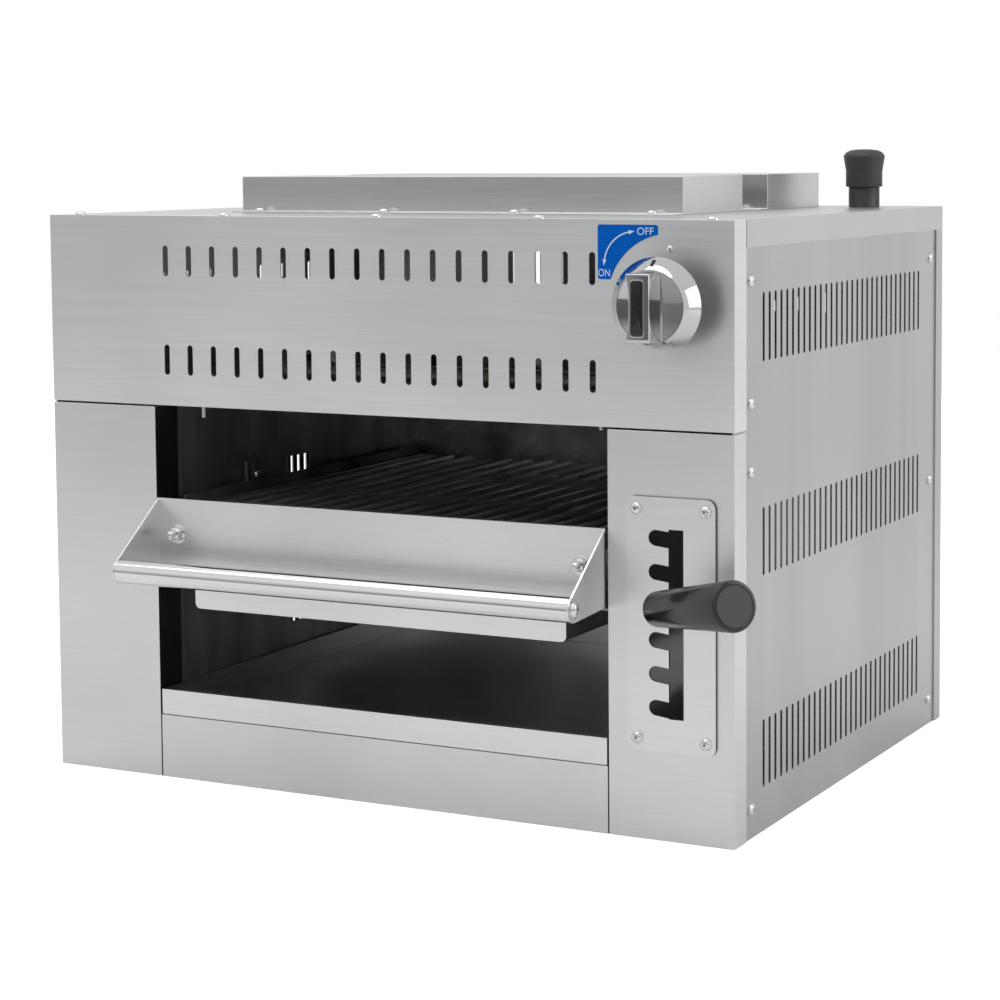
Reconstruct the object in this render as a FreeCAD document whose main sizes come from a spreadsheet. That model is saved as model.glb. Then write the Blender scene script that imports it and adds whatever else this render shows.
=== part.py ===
import FreeCAD, Part
import math
import os
import re

# Countertop gas salamander grill: a stainless cabinet with ceramic infrared burners in its
# ceiling, a pull-out grid on a carrier that a side lever sets to six heights, a drip tray, a
# crumb tray, a gas valve with its knob and a capped gas inlet.
# Frame: origin at the middle of the cabinet's underside, +X to the right, +Y to the rear, +Z up.

os.makedirs("parts", exist_ok=True)
doc = FreeCAD.newDocument("GasSalamander")
sheet = doc.addObject("Spreadsheet::Sheet", "Sizes")

# Driving sizes in millimetres and angles in degrees, each with what it measures
SIZES = {
    "cabinet_width": (600, "outside width"),
    "cabinet_depth": (460, "outside depth"),
    "cabinet_height": (450, "height to the top panel"),
    "gauge": (1.2, "thickness of the cabinet sheet"),
    "front_return": (21.5, "depth of the folds at the sides of the front panels"),
    "rear_return": (16, "depth of the folds at the sides of the rear panel"),
    "cover_flange": (20, "drop of the top panel's side flanges"),
    "panel_seam": (1, "open seam between top panel and fascia"),
    "cover_lap": (10, "top panel's lap under the fascia"),
    "fascia_bottom": (300, "height of the fascia's lower edge"),
    "fascia_shelf": (25, "depth of the fold under the fascia"),
    "column_gap": (1.5, "seam between fascia and columns"),
    "column_width": (100, "width of each front column"),
    "column_return": (30, "depth of the folds beside the opening"),
    "plinth_height": (50.5, "height of the lower front panel"),
    "plinth_seam": (0.8, "seam between the lower front panel and each column"),
    "plinth_shelf": (20, "depth of the lower front panel's top fold"),
    "base_flange": (30, "height of the base panel's side flanges"),
    "liner_back": (56, "from the back to the grill cavity"),
    "window_front": (187, "from the front to the lift windows"),
    "window_width": (37, "lift window along the depth"),
    "window_low": (92, "lower edge of the lift windows"),
    "window_high": (237, "upper edge of the lift windows"),
    "fascia_slot_last": (111.5, "from the last slot to the right side"),
    "fascia_slot_first": (112.8, "from the left side to the first slot"),
    "fascia_slot_width": (5, "width of a fascia slot"),
    "fascia_slot_height": (24, "height of a fascia slot"),
    "fascia_slot_below": (35.5, "middle of the upper row below the top panel"),
    "fascia_slot_above": (36.3, "middle of the lower row above the fascia's lower edge"),
    "fascia_slot_count": (18, "slots in a row"),
    "side_slot_last": (60, "from the last side slot to the back"),
    "side_slot_first": (56.5, "from the front to the first side slot"),
    "side_slot_width": (4, "width of a side slot"),
    "side_slot_height": (50.4, "height of a side slot"),
    "side_slot_below": (78.3, "middle of the upper group below the top panel"),
    "side_slot_middle": (215, "middle of the middle group"),
    "side_slot_lower": (58, "middle of the lower group"),
    "side_slot_count": (31, "slots in a group"),
    "rear_slot_inset": (108, "from the sides to the rear slots"),
    "rear_slot_count": (17, "slots in a rear row"),
    "rear_slot_height": (60, "height of a rear slot"),
    "rear_slot_below": (65, "middle of the rear row below the top panel"),
    "screw_head": (9, "diameter of a pan screw head"),
    "screw_rise": (2.6, "height of a pan screw head"),
    "screw_share": (0.7, "top of a screw head as a share of its diameter"),
    "top_screw_inset": (21.6, "from the sides to the top screws"),
    "top_screw_back": (12, "from the front to the top screws"),
    "side_screw_front": (32, "from the front to the front side screws"),
    "side_screw_rear": (29.5, "from the back to the rear side screws"),
    "side_screw_below": (44, "highest side screws below the top panel"),
    "side_screw_front_upper": (318, "height of a front side screw"),
    "side_screw_front_lower": (268.3, "height of a front side screw"),
    "side_screw_rear_middle": (214.5, "height of a rear side screw"),
    "side_screw_low": (22, "height of the lowest side screws"),
    "flue_inset": (98, "from the sides to a flue box"),
    "flue_back": (43, "from the back to the rear flue box"),
    "flue_height": (29.3, "height of a flue box"),
    "flue_front": (130, "from the front to the front flue box"),
    "flue_gap": (53, "between the flue boxes"),
    "flue_gauge": (1, "thickness of the flue sheet"),
    "flue_flange": (16, "depth of the flue box's front flange"),
    "flue_margin": (12, "top panel left inside a flue box"),
    "flue_outlet": (14, "height of a flue box's rear outlet"),
    "flue_screw_end": (22.45, "from the flue box's side to its first screw"),
    "flue_screw_inset": (8, "from the flue box to its screws"),
    "burner_gap": (20, "between the two burners"),
    "burner_side": (20, "from the cavity's side to a burner"),
    "burner_back": (24, "from the cavity's rear to the burners"),
    "burner_height": (40, "height of a burner housing"),
    "burner_front": (110, "from the front to the burners"),
    "burner_wall": (1.5, "thickness of a burner housing"),
    "tile_thickness": (12, "thickness of a ceramic burner tile"),
    "tile_seat": (8, "deck left under the tile's edge"),
    "mesh_margin": (6, "mesh overlap on the deck"),
    "mesh_pitch": (18, "spacing of the mesh bars"),
    "mesh_bar": (2, "width of a mesh bar"),
    "venturi_diameter": (30, "mixing tube of a burner"),
    "venturi_length": (38, "length of a mixing tube"),
    "manifold_diameter": (18, "gas manifold pipe"),
    "manifold_back": (45, "from the front to the manifold"),
    "manifold_rise": (23.6, "height of the manifold above the deck"),
    "injector_diameter": (12, "brass injector"),
    "electrode_diameter": (3, "ignition electrode and thermocouple"),
    "electrode_inset": (22, "from the cavity's side to the electrode"),
    "electrode_back": (35, "from the front to the electrode"),
    "electrode_drop": (14, "electrode below the deck"),
    "probe_drop": (8, "thermocouple below the deck"),
    "electrode_rise": (13, "electrode above the deck"),
    "electrode_collar": (10, "diameter of the electrode's collar"),
    "collar_rise": (4, "height of the electrode's collar"),
    "knob_inset": (49.7, "from the right side to the knob's axis"),
    "knob_below": (59.8, "knob's axis below the top panel"),
    "knob_gap": (22, "from the fascia to the knob"),
    "knob_push": (5, "travel of the knob when pushed"),
    "knob_hub": (24, "diameter of the knob's hub"),
    "hub_gap": (8, "from the fascia to the knob's hub"),
    "knob_skirt": (69, "diameter of the knob's skirt"),
    "knob_face": (52, "diameter of the knob's face"),
    "knob_rim": (2, "straight rim of the skirt"),
    "knob_depth": (12.5, "depth of the skirt"),
    "bar_width": (18, "width of the knob's bar"),
    "bar_height": (48, "height of the knob's bar"),
    "bar_depth": (21.5, "how far the knob's bar stands out"),
    "insert_width": (9.5, "width of the black insert"),
    "insert_height": (39, "height of the black insert"),
    "insert_depth": (2, "depth of the black insert"),
    "spindle_diameter": (8, "valve spindle"),
    "spindle_hole": (14, "fascia hole for the spindle"),
    "spindle_grip": (12, "spindle end inside the valve plug"),
    "spindle_socket": (10, "spindle end inside the knob"),
    "valve_width": (40, "width of the valve body"),
    "valve_depth": (45, "depth of the valve body"),
    "valve_back": (15, "from the front to the valve body"),
    "valve_neck": (24, "diameter of the valve's neck"),
    "plug_diameter": (20, "diameter of the valve plug"),
    "plug_length": (26, "length of the valve plug"),
    "running_gap": (0.06, "radial clearance of a turning fit"),
    "drop_pipe": (14, "pipe from valve to manifold"),
    "inlet_diameter": (26.4, "outside of the gas inlet thread"),
    "inlet_bore": (20, "bore of the gas inlet"),
    "inlet_inset": (53.8, "from the right side to the gas inlet"),
    "inlet_rear": (50, "from the back to the gas inlet"),
    "inlet_rise": (39.2, "gas inlet above the top panel"),
    "inlet_clearance": (0.8, "radial clearance in the top panel"),
    "supply_diameter": (18, "pipe from the inlet to the valve"),
    "elbow_size": (34, "block of the inlet elbow"),
    "cap_diameter": (31.2, "diameter of the inlet cap"),
    "cap_flare": (35.2, "diameter of the cap's rim"),
    "cap_height": (32, "height of the inlet cap"),
    "cap_rim": (14, "height of the cap's wide top"),
    "cap_crown": (10, "solid top of the cap"),
    "label_width": (47.7, "width of the control label"),
    "label_height": (39.4, "height of the control label"),
    "label_side": (57.1, "from the label's left edge to the knob's axis"),
    "label_above": (16.8, "label's lower edge above the knob's axis"),
    "label_gauge": (0.4, "thickness of the label"),
    "label_corner": (2, "corner radius of the label"),
    "label_ring": (50, "clear radius around the knob"),
    "dot_diameter": (5, "index dot"),
    "dot_rise": (1.7, "height of the index dot"),
    "dot_share": (0.6, "top of the index dot as a share of its diameter"),
    "dot_above": (39.2, "index dot above the knob's axis"),
    "gate_width": (70, "width of the gate plate"),
    "gate_height": (185.5, "height of the gate plate"),
    "gate_inset": (14, "from the right side to the gate plate"),
    "gate_low": (66, "height of the gate plate's lower edge"),
    "gate_gauge": (2, "thickness of the gate plate"),
    "gate_corner": (7, "corner radius of the gate plate"),
    "channel_start": (33.3, "from the gate plate's left edge to the channel"),
    "channel_width": (11.7, "width of the channel"),
    "channel_low": (90.5, "lower end of the channel"),
    "channel_high": (228.5, "upper end of the channel"),
    "notch_depth": (10, "from the channel to the centre of the notch ends"),
    "notch_height": (11.6, "height of a notch"),
    "notch_top": (222, "height of the highest notch end"),
    "notch_pitch": (24.76, "spacing of the notches"),
    "notch_count": (6, "number of notches"),
    "notch_slope": (7, "fall of a notch towards the channel, degrees"),
    "gate_cutout_margin": (12, "column left behind the gate plate's side"),
    "gate_cutout_end": (16, "column left behind the gate plate's ends"),
    "gate_screw_side": (7.8, "gate screws from the plate's side"),
    "gate_screw_end": (9, "gate screws from the plate's end"),
    "lever_rest_notch": (3, "notch beside which the lever rests"),
    "rod_drop": (1.2, "lever rod below its notch end"),
    "rod_offset": (4.3, "from the channel's left edge to the lever rod"),
    "rod_diameter": (8, "lever rod"),
    "rod_stub": (48, "lever rod in front of the cabinet"),
    "rod_bend": (12, "bend radius of the lever rod"),
    "lever_tilt": (9, "rise of the lever towards the front, degrees"),
    "pivot_rear": (75, "from the back to the lever's pivot"),
    "lever_bar": (22, "height of the lever bar"),
    "lever_gauge": (5, "thickness of the lever bar"),
    "lever_bar_front": (40, "from the front to the lever bar"),
    "hub_diameter": (26, "lever hub"),
    "hub_width": (24, "width of the lever hub"),
    "sleeve_diameter": (16, "pivot sleeve"),
    "sleeve_gap": (16, "from the cavity to the sleeve's left end"),
    "sleeve_length": (60, "length of the pivot sleeve"),
    "pivot_diameter": (10, "lever pivot pin"),
    "pivot_overrun": (6, "pivot pin beyond the sleeve"),
    "bracket_size": (56, "side of the lever bracket"),
    "bracket_gauge": (3, "thickness of the lever bracket"),
    "boss_diameter": (24, "boss of the lever bracket"),
    "circlip_diameter": (20, "pivot circlip"),
    "circlip_gauge": (1.5, "thickness of the circlip"),
    "end_float": (0.5, "side play of the sleeve"),
    "drive_back": (205.5, "from the front to the lift windows' middle"),
    "drive_diameter": (10, "drive pin"),
    "drive_play": (1, "play of the drive pin in the lever's slot"),
    "drive_travel": (16, "length of the lever's slot beyond the pin"),
    "drive_overhang": (12.4, "drive pin beyond the lever's middle"),
    "grip_angle": (55, "grip's turn to the right, degrees"),
    "grip_rise": (5, "grip's rise above the lever, degrees"),
    "grip_root": (25, "diameter of the grip's root"),
    "grip_end": (35, "diameter of the grip's end"),
    "grip_length": (100, "length of the grip"),
    "grip_start": (6, "rod showing between bend and grip"),
    "grip_bevel": (2, "bevel at the grip's end"),
    "guide_diameter": (10, "guide rod"),
    "guide_gap": (14, "from the cavity to the guide rods"),
    "collar_diameter": (22, "guide rod collar"),
    "collar_height": (8, "guide rod collar"),
    "block_size": (20, "side of the slide blocks"),
    "block_low": (129, "height of the slide blocks' underside"),
    "block_height": (46, "height of the slide blocks"),
    "arm_width": (16, "lift arms along the depth"),
    "arm_low": (135, "height of the lift arms' underside"),
    "rail_gap": (8, "from the liner to the rail"),
    "rail_gauge": (2, "thickness of the rails"),
    "rail_front": (25, "from the front to the rails"),
    "rail_back": (10, "from the cavity's rear to the rails"),
    "rail_low": (150, "height of the rails' lower edge"),
    "rail_high": (225, "height of the rails' upper edge"),
    "grid_ledge": (208, "height of the grid ledge"),
    "grid_ledge_width": (16, "width of the grid ledge"),
    "tray_ledge": (162, "height of the drip tray ledge"),
    "tray_ledge_width": (22, "width of the drip tray ledge"),
    "cross_gauge": (3, "thickness of the carrier's rear cross member"),
    "cross_top": (200, "height of the cross member's upper edge"),
    "tab_width": (27, "width of the rear tabs"),
    "tab_top": (217, "height of the rear tabs"),
    "hook_front": (115, "from the front to the front hooks"),
    "hook_length": (23, "length of the front hooks"),
    "hook_low": (205, "height of the hooks' lower edge"),
    "hook_high": (242, "height of the hooks' upper edge"),
    "hook_gauge": (3, "thickness of the front hooks"),
    "hook_lip": (3.5, "hook metal beside its slot"),
    "hook_slot": (7, "width of the hooks' slot"),
    "hook_slot_depth": (22, "depth of the hooks' slot"),
    "hook_bolt": (9, "diameter of the hook bolt's head"),
    "hook_bolt_rise": (3, "height of the hook bolt's head"),
    "seat_gap": (0.3, "clearance under sliding trays and the grid"),
    "grid_gap": (13, "from the cavity's side to the grid"),
    "grid_bar": (6, "width of the grid's side bars"),
    "grid_bar_height": (10, "height of the grid's side bars"),
    "grid_front": (4, "from the front to the grid's side bars"),
    "grid_back": (11, "from the cavity's rear to the grid"),
    "grid_rod": (6, "grid rod diameter"),
    "grid_rod_side": (7.6, "from a side bar to the first grid rod"),
    "grid_rod_count": (18, "number of grid rods"),
    "grid_rod_front": (22, "from the front to the grid rods"),
    "strip_width": (9, "width of the grid's cross strips"),
    "strip_gauge": (3, "thickness of the grid's cross strips"),
    "strip_front": (75, "from the front to the first strip"),
    "strip_middle": (180, "from the front to the middle strip"),
    "strip_back": (56, "from the grid's rear end to the rear strip"),
    "weld_sink": (0.5, "depth of a welded joint"),
    "ear_gauge": (3, "thickness of the grid's front ears"),
    "ear_width": (20, "width of the grid's front ears"),
    "ear_low": (186, "height of the ears' lower edge"),
    "shield_gauge": (1.5, "thickness of the heat shield"),
    "shield_side": (1.5, "gap between shield and columns"),
    "shield_low": (168, "height of the shield's lower edge"),
    "shield_high": (226, "height of the shield's upper edge"),
    "handle_diameter": (19, "handle tube"),
    "handle_wall": (1.5, "wall of the handle tube"),
    "handle_reach": (52, "handle tube in front of the cabinet"),
    "handle_level": (174.8, "height of the handle tube"),
    "handle_screw": (12, "diameter of the handle screws' heads"),
    "handle_screw_rise": (4, "height of the handle screws' heads"),
    "bolt_inset": (8, "from the grid's side to the shield bolts"),
    "bolt_level": (198, "height of the shield bolts"),
    "bolt_diameter": (6, "shield bolts"),
    "bolt_reach": (13, "shield bolts in front of the shield"),
    "nut_size": (11.5, "shield nuts across corners"),
    "nut_height": (6, "shield nuts"),
    "washer_diameter": (15, "shield washers"),
    "washer_gauge": (1.5, "shield washers"),
    "drip_gap": (35, "from the cavity's side to the drip tray"),
    "drip_flange": (15, "drip tray's side flanges"),
    "drip_wall": (1, "wall of the drip tray"),
    "drip_low": (139, "height of the drip tray's underside"),
    "drip_high": (164.8, "height of the drip tray's rim"),
    "drip_front": (1, "from the front to the drip tray"),
    "drip_back": (24, "drip tray short of the cavity's depth"),
    "drip_corner": (4.5, "corner radius of the drip tray"),
    "crumb_gap": (1.5, "from the cavity's side to the crumb tray"),
    "crumb_wall": (1, "wall of the crumb tray"),
    "crumb_low": (51, "height of the crumb tray's underside"),
    "crumb_high": (71.2, "height of the crumb tray's rim"),
    "crumb_back": (8, "crumb tray short of the cavity's depth"),
    "crumb_lip": (8, "inward lip at the crumb tray's front"),
    "runner_width": (14, "crumb tray runner"),
    "runner_height": (12, "crumb tray runner"),
    "overrun": (2, "how far a cutter passes a face"),
}

# Sizes that follow from the driving ones, each as a formula
DRIVEN = {
    "knob_across": ("cabinet_width/2-knob_inset", "knob's axis from the middle"),
    "knob_level": ("cabinet_height-knob_below", "height of the knob's axis"),
    "dot_level": ("knob_level+dot_above", "height of the index dot"),
    "label_left": ("knob_across-label_side", "label's left edge from the middle"),
    "label_low": ("knob_level+label_above", "height of the label's lower edge"),
    "inlet_across": ("cabinet_width/2-inlet_inset", "gas inlet from the middle"),
    "inlet_back": ("cabinet_depth-inlet_rear", "from the front to the gas inlet"),
    "gate_left": ("cabinet_width/2-gate_inset-gate_width", "gate plate's left edge from the middle"),
    "channel_left": ("gate_left+channel_start", "channel's left edge from the middle"),
    "channel_right": ("channel_left+channel_width", "channel's right edge from the middle"),
    "notch_reach": ("channel_left-notch_depth", "centre of the notch ends from the middle"),
    "rod_across": ("channel_left+rod_offset", "lever rod from the middle"),
    "sleeve_left": ("cabinet_width/2-column_width+sleeve_gap", "sleeve's left end from the middle"),
    "drive_outer": ("rod_across+drive_overhang", "drive pin's end from the middle"),
    "guide_across": ("cabinet_width/2-column_width+guide_gap", "guide rods from the middle"),
    "grid_bar_outer": ("cabinet_width/2-column_width-grid_gap",
                       "outside of the grid's side bars from the middle"),
    "bolt_across": ("grid_bar_outer-bolt_inset", "shield bolts from the middle"),
    "drip_half": ("cabinet_width/2-column_width-drip_gap", "half the drip tray's width"),
    "crumb_half": ("cabinet_width/2-column_width-crumb_gap", "half the crumb tray's width"),
    "electrode_side": ("cabinet_width/2-column_width-electrode_inset", "electrode from the middle"),
    "manifold_height": ("fascia_bottom+2*gauge+manifold_rise", "height of the manifold"),
    "fascia_slot_pitch": ("(cabinet_width-fascia_slot_first-fascia_slot_last)/(fascia_slot_count-1)",
                          "spacing of the fascia slots"),
    "fascia_slot_upper": ("cabinet_height-fascia_slot_below", "middle of the upper row"),
    "fascia_slot_lower": ("fascia_bottom+fascia_slot_above", "middle of the lower row"),
    "side_slot_pitch": ("(cabinet_depth-side_slot_first-side_slot_last)/(side_slot_count-1)",
                        "spacing of the side slots"),
    "side_slot_upper": ("cabinet_height-side_slot_below", "middle of the upper group"),
    "rear_slot_pitch": ("(cabinet_width-2*rear_slot_inset)/(rear_slot_count-1)", "spacing of the rear slots"),
    "rear_slot_middle": ("cabinet_height-rear_slot_below", "middle of the rear row"),
    "top_screw_pitch": ("(cabinet_width-2*top_screw_inset)/4", "spacing of the top screws"),
    "side_screw_high": ("cabinet_height-side_screw_below", "height of the highest side screws"),
    "flue_width": ("cabinet_width-2*flue_inset", "width of a flue box"),
    "flue_depth": ("(cabinet_depth-flue_front-flue_gap-flue_back)/2", "depth of a flue box"),
    "flue_spacing": ("flue_depth+flue_gap", "from one flue box to the next"),
    "flue_screw_pitch": ("(flue_width-2*flue_screw_end)/3", "spacing of the flue screws"),
    "burner_width": ("(cabinet_width-2*column_width-burner_gap-2*burner_side)/2", "width of a burner housing"),
    "liner_depth": ("cabinet_depth-liner_back", "depth of the grill cavity"),
    "burner_depth": ("liner_depth-burner_front-burner_back", "depth of a burner housing"),
    "rail_rear": ("liner_depth-rail_back", "from the front to the rails' rear end"),
    "grid_rear": ("liner_depth-grid_back", "from the front to the grid's rear end"),
    "grid_rod_pitch": ("2*(grid_bar_outer-grid_bar-grid_rod_side)/(grid_rod_count-1)",
                       "spacing of the grid rods"),
    "strip_rear": ("grid_rear-strip_back", "from the front to the rear strip"),
    "drip_length": ("liner_depth-drip_back", "length of the drip tray"),
    "crumb_length": ("liner_depth-crumb_back", "length of the crumb tray"),
    "lever_reach": ("cabinet_depth-pivot_rear", "from the front to the lever's pivot"),
}
NAMES = {**SIZES, **{alias: ("=" + formula, note) for alias, (formula, note) in DRIVEN.items()}}
for number, (alias, (value, note)) in enumerate(NAMES.items(), start=1):
    sheet.set("A%d" % number, note)
    sheet.set("B%d" % number, str(value))
    sheet.setAlias("B%d" % number, alias)
doc.recompute()

WORD = re.compile(r"[a-z][a-z_]*")
LEFT = "-cabinet_width/2"
RIGHT = "cabinet_width/2"
FRONT = "-cabinet_depth/2"
BACK = "cabinet_depth/2"
TOP = "cabinet_height"
OPEN = "(cabinet_width/2-column_width)"
DECK = "(fascia_bottom+2*gauge)"
nodes = []


def bound(text):
    """The expression, with each named size pointing at its cell."""
    return WORD.sub(lambda word: "Sizes." + word.group() if word.group() in NAMES else word.group(), text)


def size(alias):
    """The number in a cell."""
    return float(sheet.get(alias))


def place(thing, x, y, z):
    """Bind a thing's place to three expressions."""
    thing.setExpression("Placement.Base.x", bound(x))
    thing.setExpression("Placement.Base.y", bound(y))
    thing.setExpression("Placement.Base.z", bound(z))
    return thing


def block(x_low, x_high, y_low, y_high, z_low, z_high):
    """A box between six planes."""
    piece = doc.addObject("Part::Box", "Block")
    piece.setExpression("Length", bound("(%s)-(%s)" % (x_high, x_low)))
    piece.setExpression("Width", bound("(%s)-(%s)" % (y_high, y_low)))
    piece.setExpression("Height", bound("(%s)-(%s)" % (z_high, z_low)))
    return place(piece, x_low, y_low, z_low)


def sided(side, inner, outer):
    """The two X planes of something on the right, or mirrored to the left."""
    if side > 0:
        return inner, outer
    return "-(%s)" % outer, "-(%s)" % inner


TURNS = {
    "X": FreeCAD.Rotation(FreeCAD.Vector(0, 1, 0), 90),
    "Y": FreeCAD.Rotation(FreeCAD.Vector(1, 0, 0), -90),
    "Z": FreeCAD.Rotation(),
}


def rod(axis, start, diameter, length):
    """A cylinder that runs from its start point along an axis."""
    piece = doc.addObject("Part::Cylinder", "Rod")
    piece.Placement.Rotation = TURNS[axis]
    piece.setExpression("Radius", bound("(%s)/2" % diameter))
    piece.setExpression("Height", bound(length))
    return place(piece, *start)


def cone(axis, start, first, last, length):
    """A cone frustum that runs from its first diameter to its last."""
    piece = doc.addObject("Part::Cone", "Cone")
    piece.Placement.Rotation = TURNS[axis]
    piece.setExpression("Radius1", bound("(%s)/2" % first))
    piece.setExpression("Radius2", bound("(%s)/2" % last))
    piece.setExpression("Height", bound(length))
    return place(piece, *start)


def fuse(*pieces):
    """One solid out of pieces that meet."""
    joined = doc.addObject("Part::MultiFuse", "Joined")
    joined.Shapes = list(pieces)
    joined.Refine = True
    return joined


def group(*pieces):
    """Separate solids under one name."""
    together = doc.addObject("Part::Compound", "Group")
    together.Links = list(pieces)
    return together


def cut(base, *tools):
    """A piece with tools taken out of it."""
    result = doc.addObject("Part::Cut", "Shaped")
    result.Base = base
    result.Tool = tools[0] if len(tools) == 1 else group(*tools)
    return result


def solid(shape):
    """A shape worked out from the sizes, as an object."""
    piece = doc.addObject("Part::Feature", "Shape")
    piece.Shape = shape
    return piece


def rounded(base, axis, radius):
    """A piece with its edges along one axis rounded."""
    doc.recompute()
    chosen = []
    for number, edge in enumerate(base.Shape.Edges, start=1):
        run = edge.Vertexes[-1].Point - edge.Vertexes[0].Point
        if run.Length and abs(getattr(run.normalize(), axis)) > 1 - 1e-6:
            chosen.append((number, size(radius), size(radius)))
    result = doc.addObject("Part::Fillet", "Rounded")
    result.Base = base
    result.Edges = chosen
    return result


def node(name, piece):
    """Give a finished piece its name."""
    piece.Label = name
    nodes.append(piece)
    return piece


def obround(across, along, middle, half_width, half_length, reach):
    """A round-ended slot cutter: its middle, its width across, its length along, its depth."""
    corner = middle - across * half_width - along * half_length
    outline = Part.makePolygon([
        corner, corner + across * half_width * 2, corner + across * half_width * 2 + along * half_length * 2,
        corner + along * half_length * 2, corner])
    body = Part.Face(outline).extrude(reach)
    for end in (-1, 1):
        centre = middle + along * half_length * end
        body = body.fuse(Part.makeCylinder(half_width, reach.Length, centre, reach))
    return body


def slot_row(count, first, step, along, width, length, reach):
    """A row of round-ended slots as one cutter."""
    across = FreeCAD.Vector(step).normalize()
    half = (length - width) / 2
    return [obround(across, along, first + step * number, width / 2, half, reach) for number in range(count)]


# Base panel
inner_wall = RIGHT + "-2*gauge"
floor = block("-(%s)" % inner_wall, inner_wall, FRONT + "+gauge", BACK + "-gauge", "0", "gauge")
flanges = []
for side in (-1, 1):
    low, high = sided(side, inner_wall + "-gauge", inner_wall)
    flanges.append(block(low, high, FRONT + "+gauge", BACK + "-gauge", "gauge", "base_flange"))
node("base_panel", fuse(floor, *flanges))

# Side panels with their slots
up = FreeCAD.Vector(0, 0, 1)
for side, name in ((-1, "left_side_panel"), (1, "right_side_panel")):
    low, high = sided(side, RIGHT + "-2*gauge", RIGHT + "-gauge")
    panel = block(low, high, FRONT + "+gauge", BACK + "-gauge", "0", TOP + "-gauge")
    cutters = []
    wall = side * (size("cabinet_width") / 2 - size("gauge"))
    for level in ("side_slot_upper", "side_slot_middle", "side_slot_lower"):
        first = FreeCAD.Vector(wall + side * size("overrun"), 0, size(level))
        first.y = size("side_slot_first") - size("cabinet_depth") / 2
        depth = FreeCAD.Vector(-side * (size("gauge") + 2 * size("overrun")), 0, 0)
        cutters += slot_row(int(size("side_slot_count")), first, FreeCAD.Vector(0, size("side_slot_pitch"), 0),
                            up, size("side_slot_width"), size("side_slot_height"), depth)
    node(name, cut(panel, solid(Part.Compound(cutters))))

# Rear panel
rear = [block(LEFT, RIGHT, BACK + "-gauge", BACK, "0", TOP + "-gauge")]
for side in (-1, 1):
    low, high = sided(side, RIGHT + "-gauge", RIGHT)
    rear.append(block(low, high, BACK + "-rear_return", BACK + "-gauge", "0", TOP + "-cover_flange"))
first = FreeCAD.Vector(-size("rear_slot_pitch") * (size("rear_slot_count") - 1) / 2, 0, size("rear_slot_middle"))
first.y = size("cabinet_depth") / 2 + size("overrun")
depth = FreeCAD.Vector(0, -size("gauge") - 2 * size("overrun"), 0)
cutters = slot_row(int(size("rear_slot_count")), first, FreeCAD.Vector(size("rear_slot_pitch"), 0, 0), up,
                   size("fascia_slot_width"), size("rear_slot_height"), depth)
node("rear_panel", cut(fuse(*rear), solid(Part.Compound(cutters))))

# Top panel, with a flue hole under each flue box and a hole for the gas inlet
seam = FRONT + "+front_return+panel_seam"
cover = [block(LEFT, RIGHT, seam, BACK, TOP + "-gauge", TOP)]
cover.append(block("-(%s)" % inner_wall, inner_wall, FRONT + "+gauge", seam + "+cover_lap",
                   TOP + "-2*gauge", TOP + "-gauge"))
for side in (-1, 1):
    low, high = sided(side, RIGHT + "-gauge", RIGHT)
    cover.append(block(low, high, seam, BACK + "-gauge", TOP + "-cover_flange", TOP + "-gauge"))
holes = []
for order in (0, 1):
    near = FRONT + "+flue_front+flue_margin+%d*flue_spacing" % order
    holes.append(block("-flue_width/2+flue_margin", "flue_width/2-flue_margin", near,
                       near + "+flue_depth-2*flue_margin", TOP + "-gauge-overrun", TOP + "+overrun"))
holes.append(rod("Z", ("inlet_across", FRONT + "+inlet_back", TOP + "-gauge-overrun"),
                 "inlet_diameter+2*inlet_clearance", "gauge+2*overrun"))
node("top_panel", cut(fuse(*cover), *holes))

# Fascia with two rows of slots
fascia = [block(LEFT, RIGHT, FRONT, FRONT + "+gauge", "fascia_bottom", TOP)]
fascia.append(block(LEFT, RIGHT, FRONT + "+gauge", FRONT + "+front_return", TOP + "-gauge", TOP))
fascia.append(block("-(%s)" % inner_wall, inner_wall, FRONT + "+gauge", FRONT + "+fascia_shelf",
                    "fascia_bottom", "fascia_bottom+gauge"))
for side in (-1, 1):
    low, high = sided(side, RIGHT + "-gauge", RIGHT)
    fascia.append(block(low, high, FRONT + "+gauge", FRONT + "+front_return", "fascia_bottom", TOP + "-gauge"))
cutters = []
for level in ("fascia_slot_upper", "fascia_slot_lower"):
    first = FreeCAD.Vector(size("fascia_slot_first") - size("cabinet_width") / 2, 0, size(level))
    first.y = -size("cabinet_depth") / 2 - size("overrun")
    depth = FreeCAD.Vector(0, size("gauge") + 2 * size("overrun"), 0)
    cutters += slot_row(int(size("fascia_slot_count")), first, FreeCAD.Vector(size("fascia_slot_pitch"), 0, 0),
                        up, size("fascia_slot_width"), size("fascia_slot_height"), depth)
bore = rod("Y", ("knob_across", FRONT + "-overrun", "knob_level"), "spindle_hole", "gauge+2*overrun")
node("upper_front_panel", cut(fuse(*fascia), solid(Part.Compound(cutters)), bore))

# Front columns, the right one with a window behind the gate plate
column_top = "fascia_bottom-column_gap"
for side, name in ((-1, "left_front_column"), (1, "right_front_column")):
    low, high = sided(side, OPEN, RIGHT)
    column = [block(low, high, FRONT, FRONT + "+gauge", "0", column_top)]
    low, high = sided(side, RIGHT + "-gauge", RIGHT)
    column.append(block(low, high, FRONT + "+gauge", FRONT + "+front_return", "0", column_top))
    low, high = sided(side, OPEN, OPEN + "+gauge")
    column.append(block(low, high, FRONT + "+gauge", FRONT + "+column_return", "gauge", column_top))
    column = fuse(*column)
    if side > 0:
        opening = block("gate_left+gate_cutout_margin", "gate_left+gate_width-gate_cutout_margin",
                        FRONT + "-overrun", FRONT + "+gauge+overrun",
                        "gate_low+gate_cutout_end", "gate_low+gate_height-gate_cutout_end")
        column = cut(column, opening)
    node(name, column)

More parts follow.
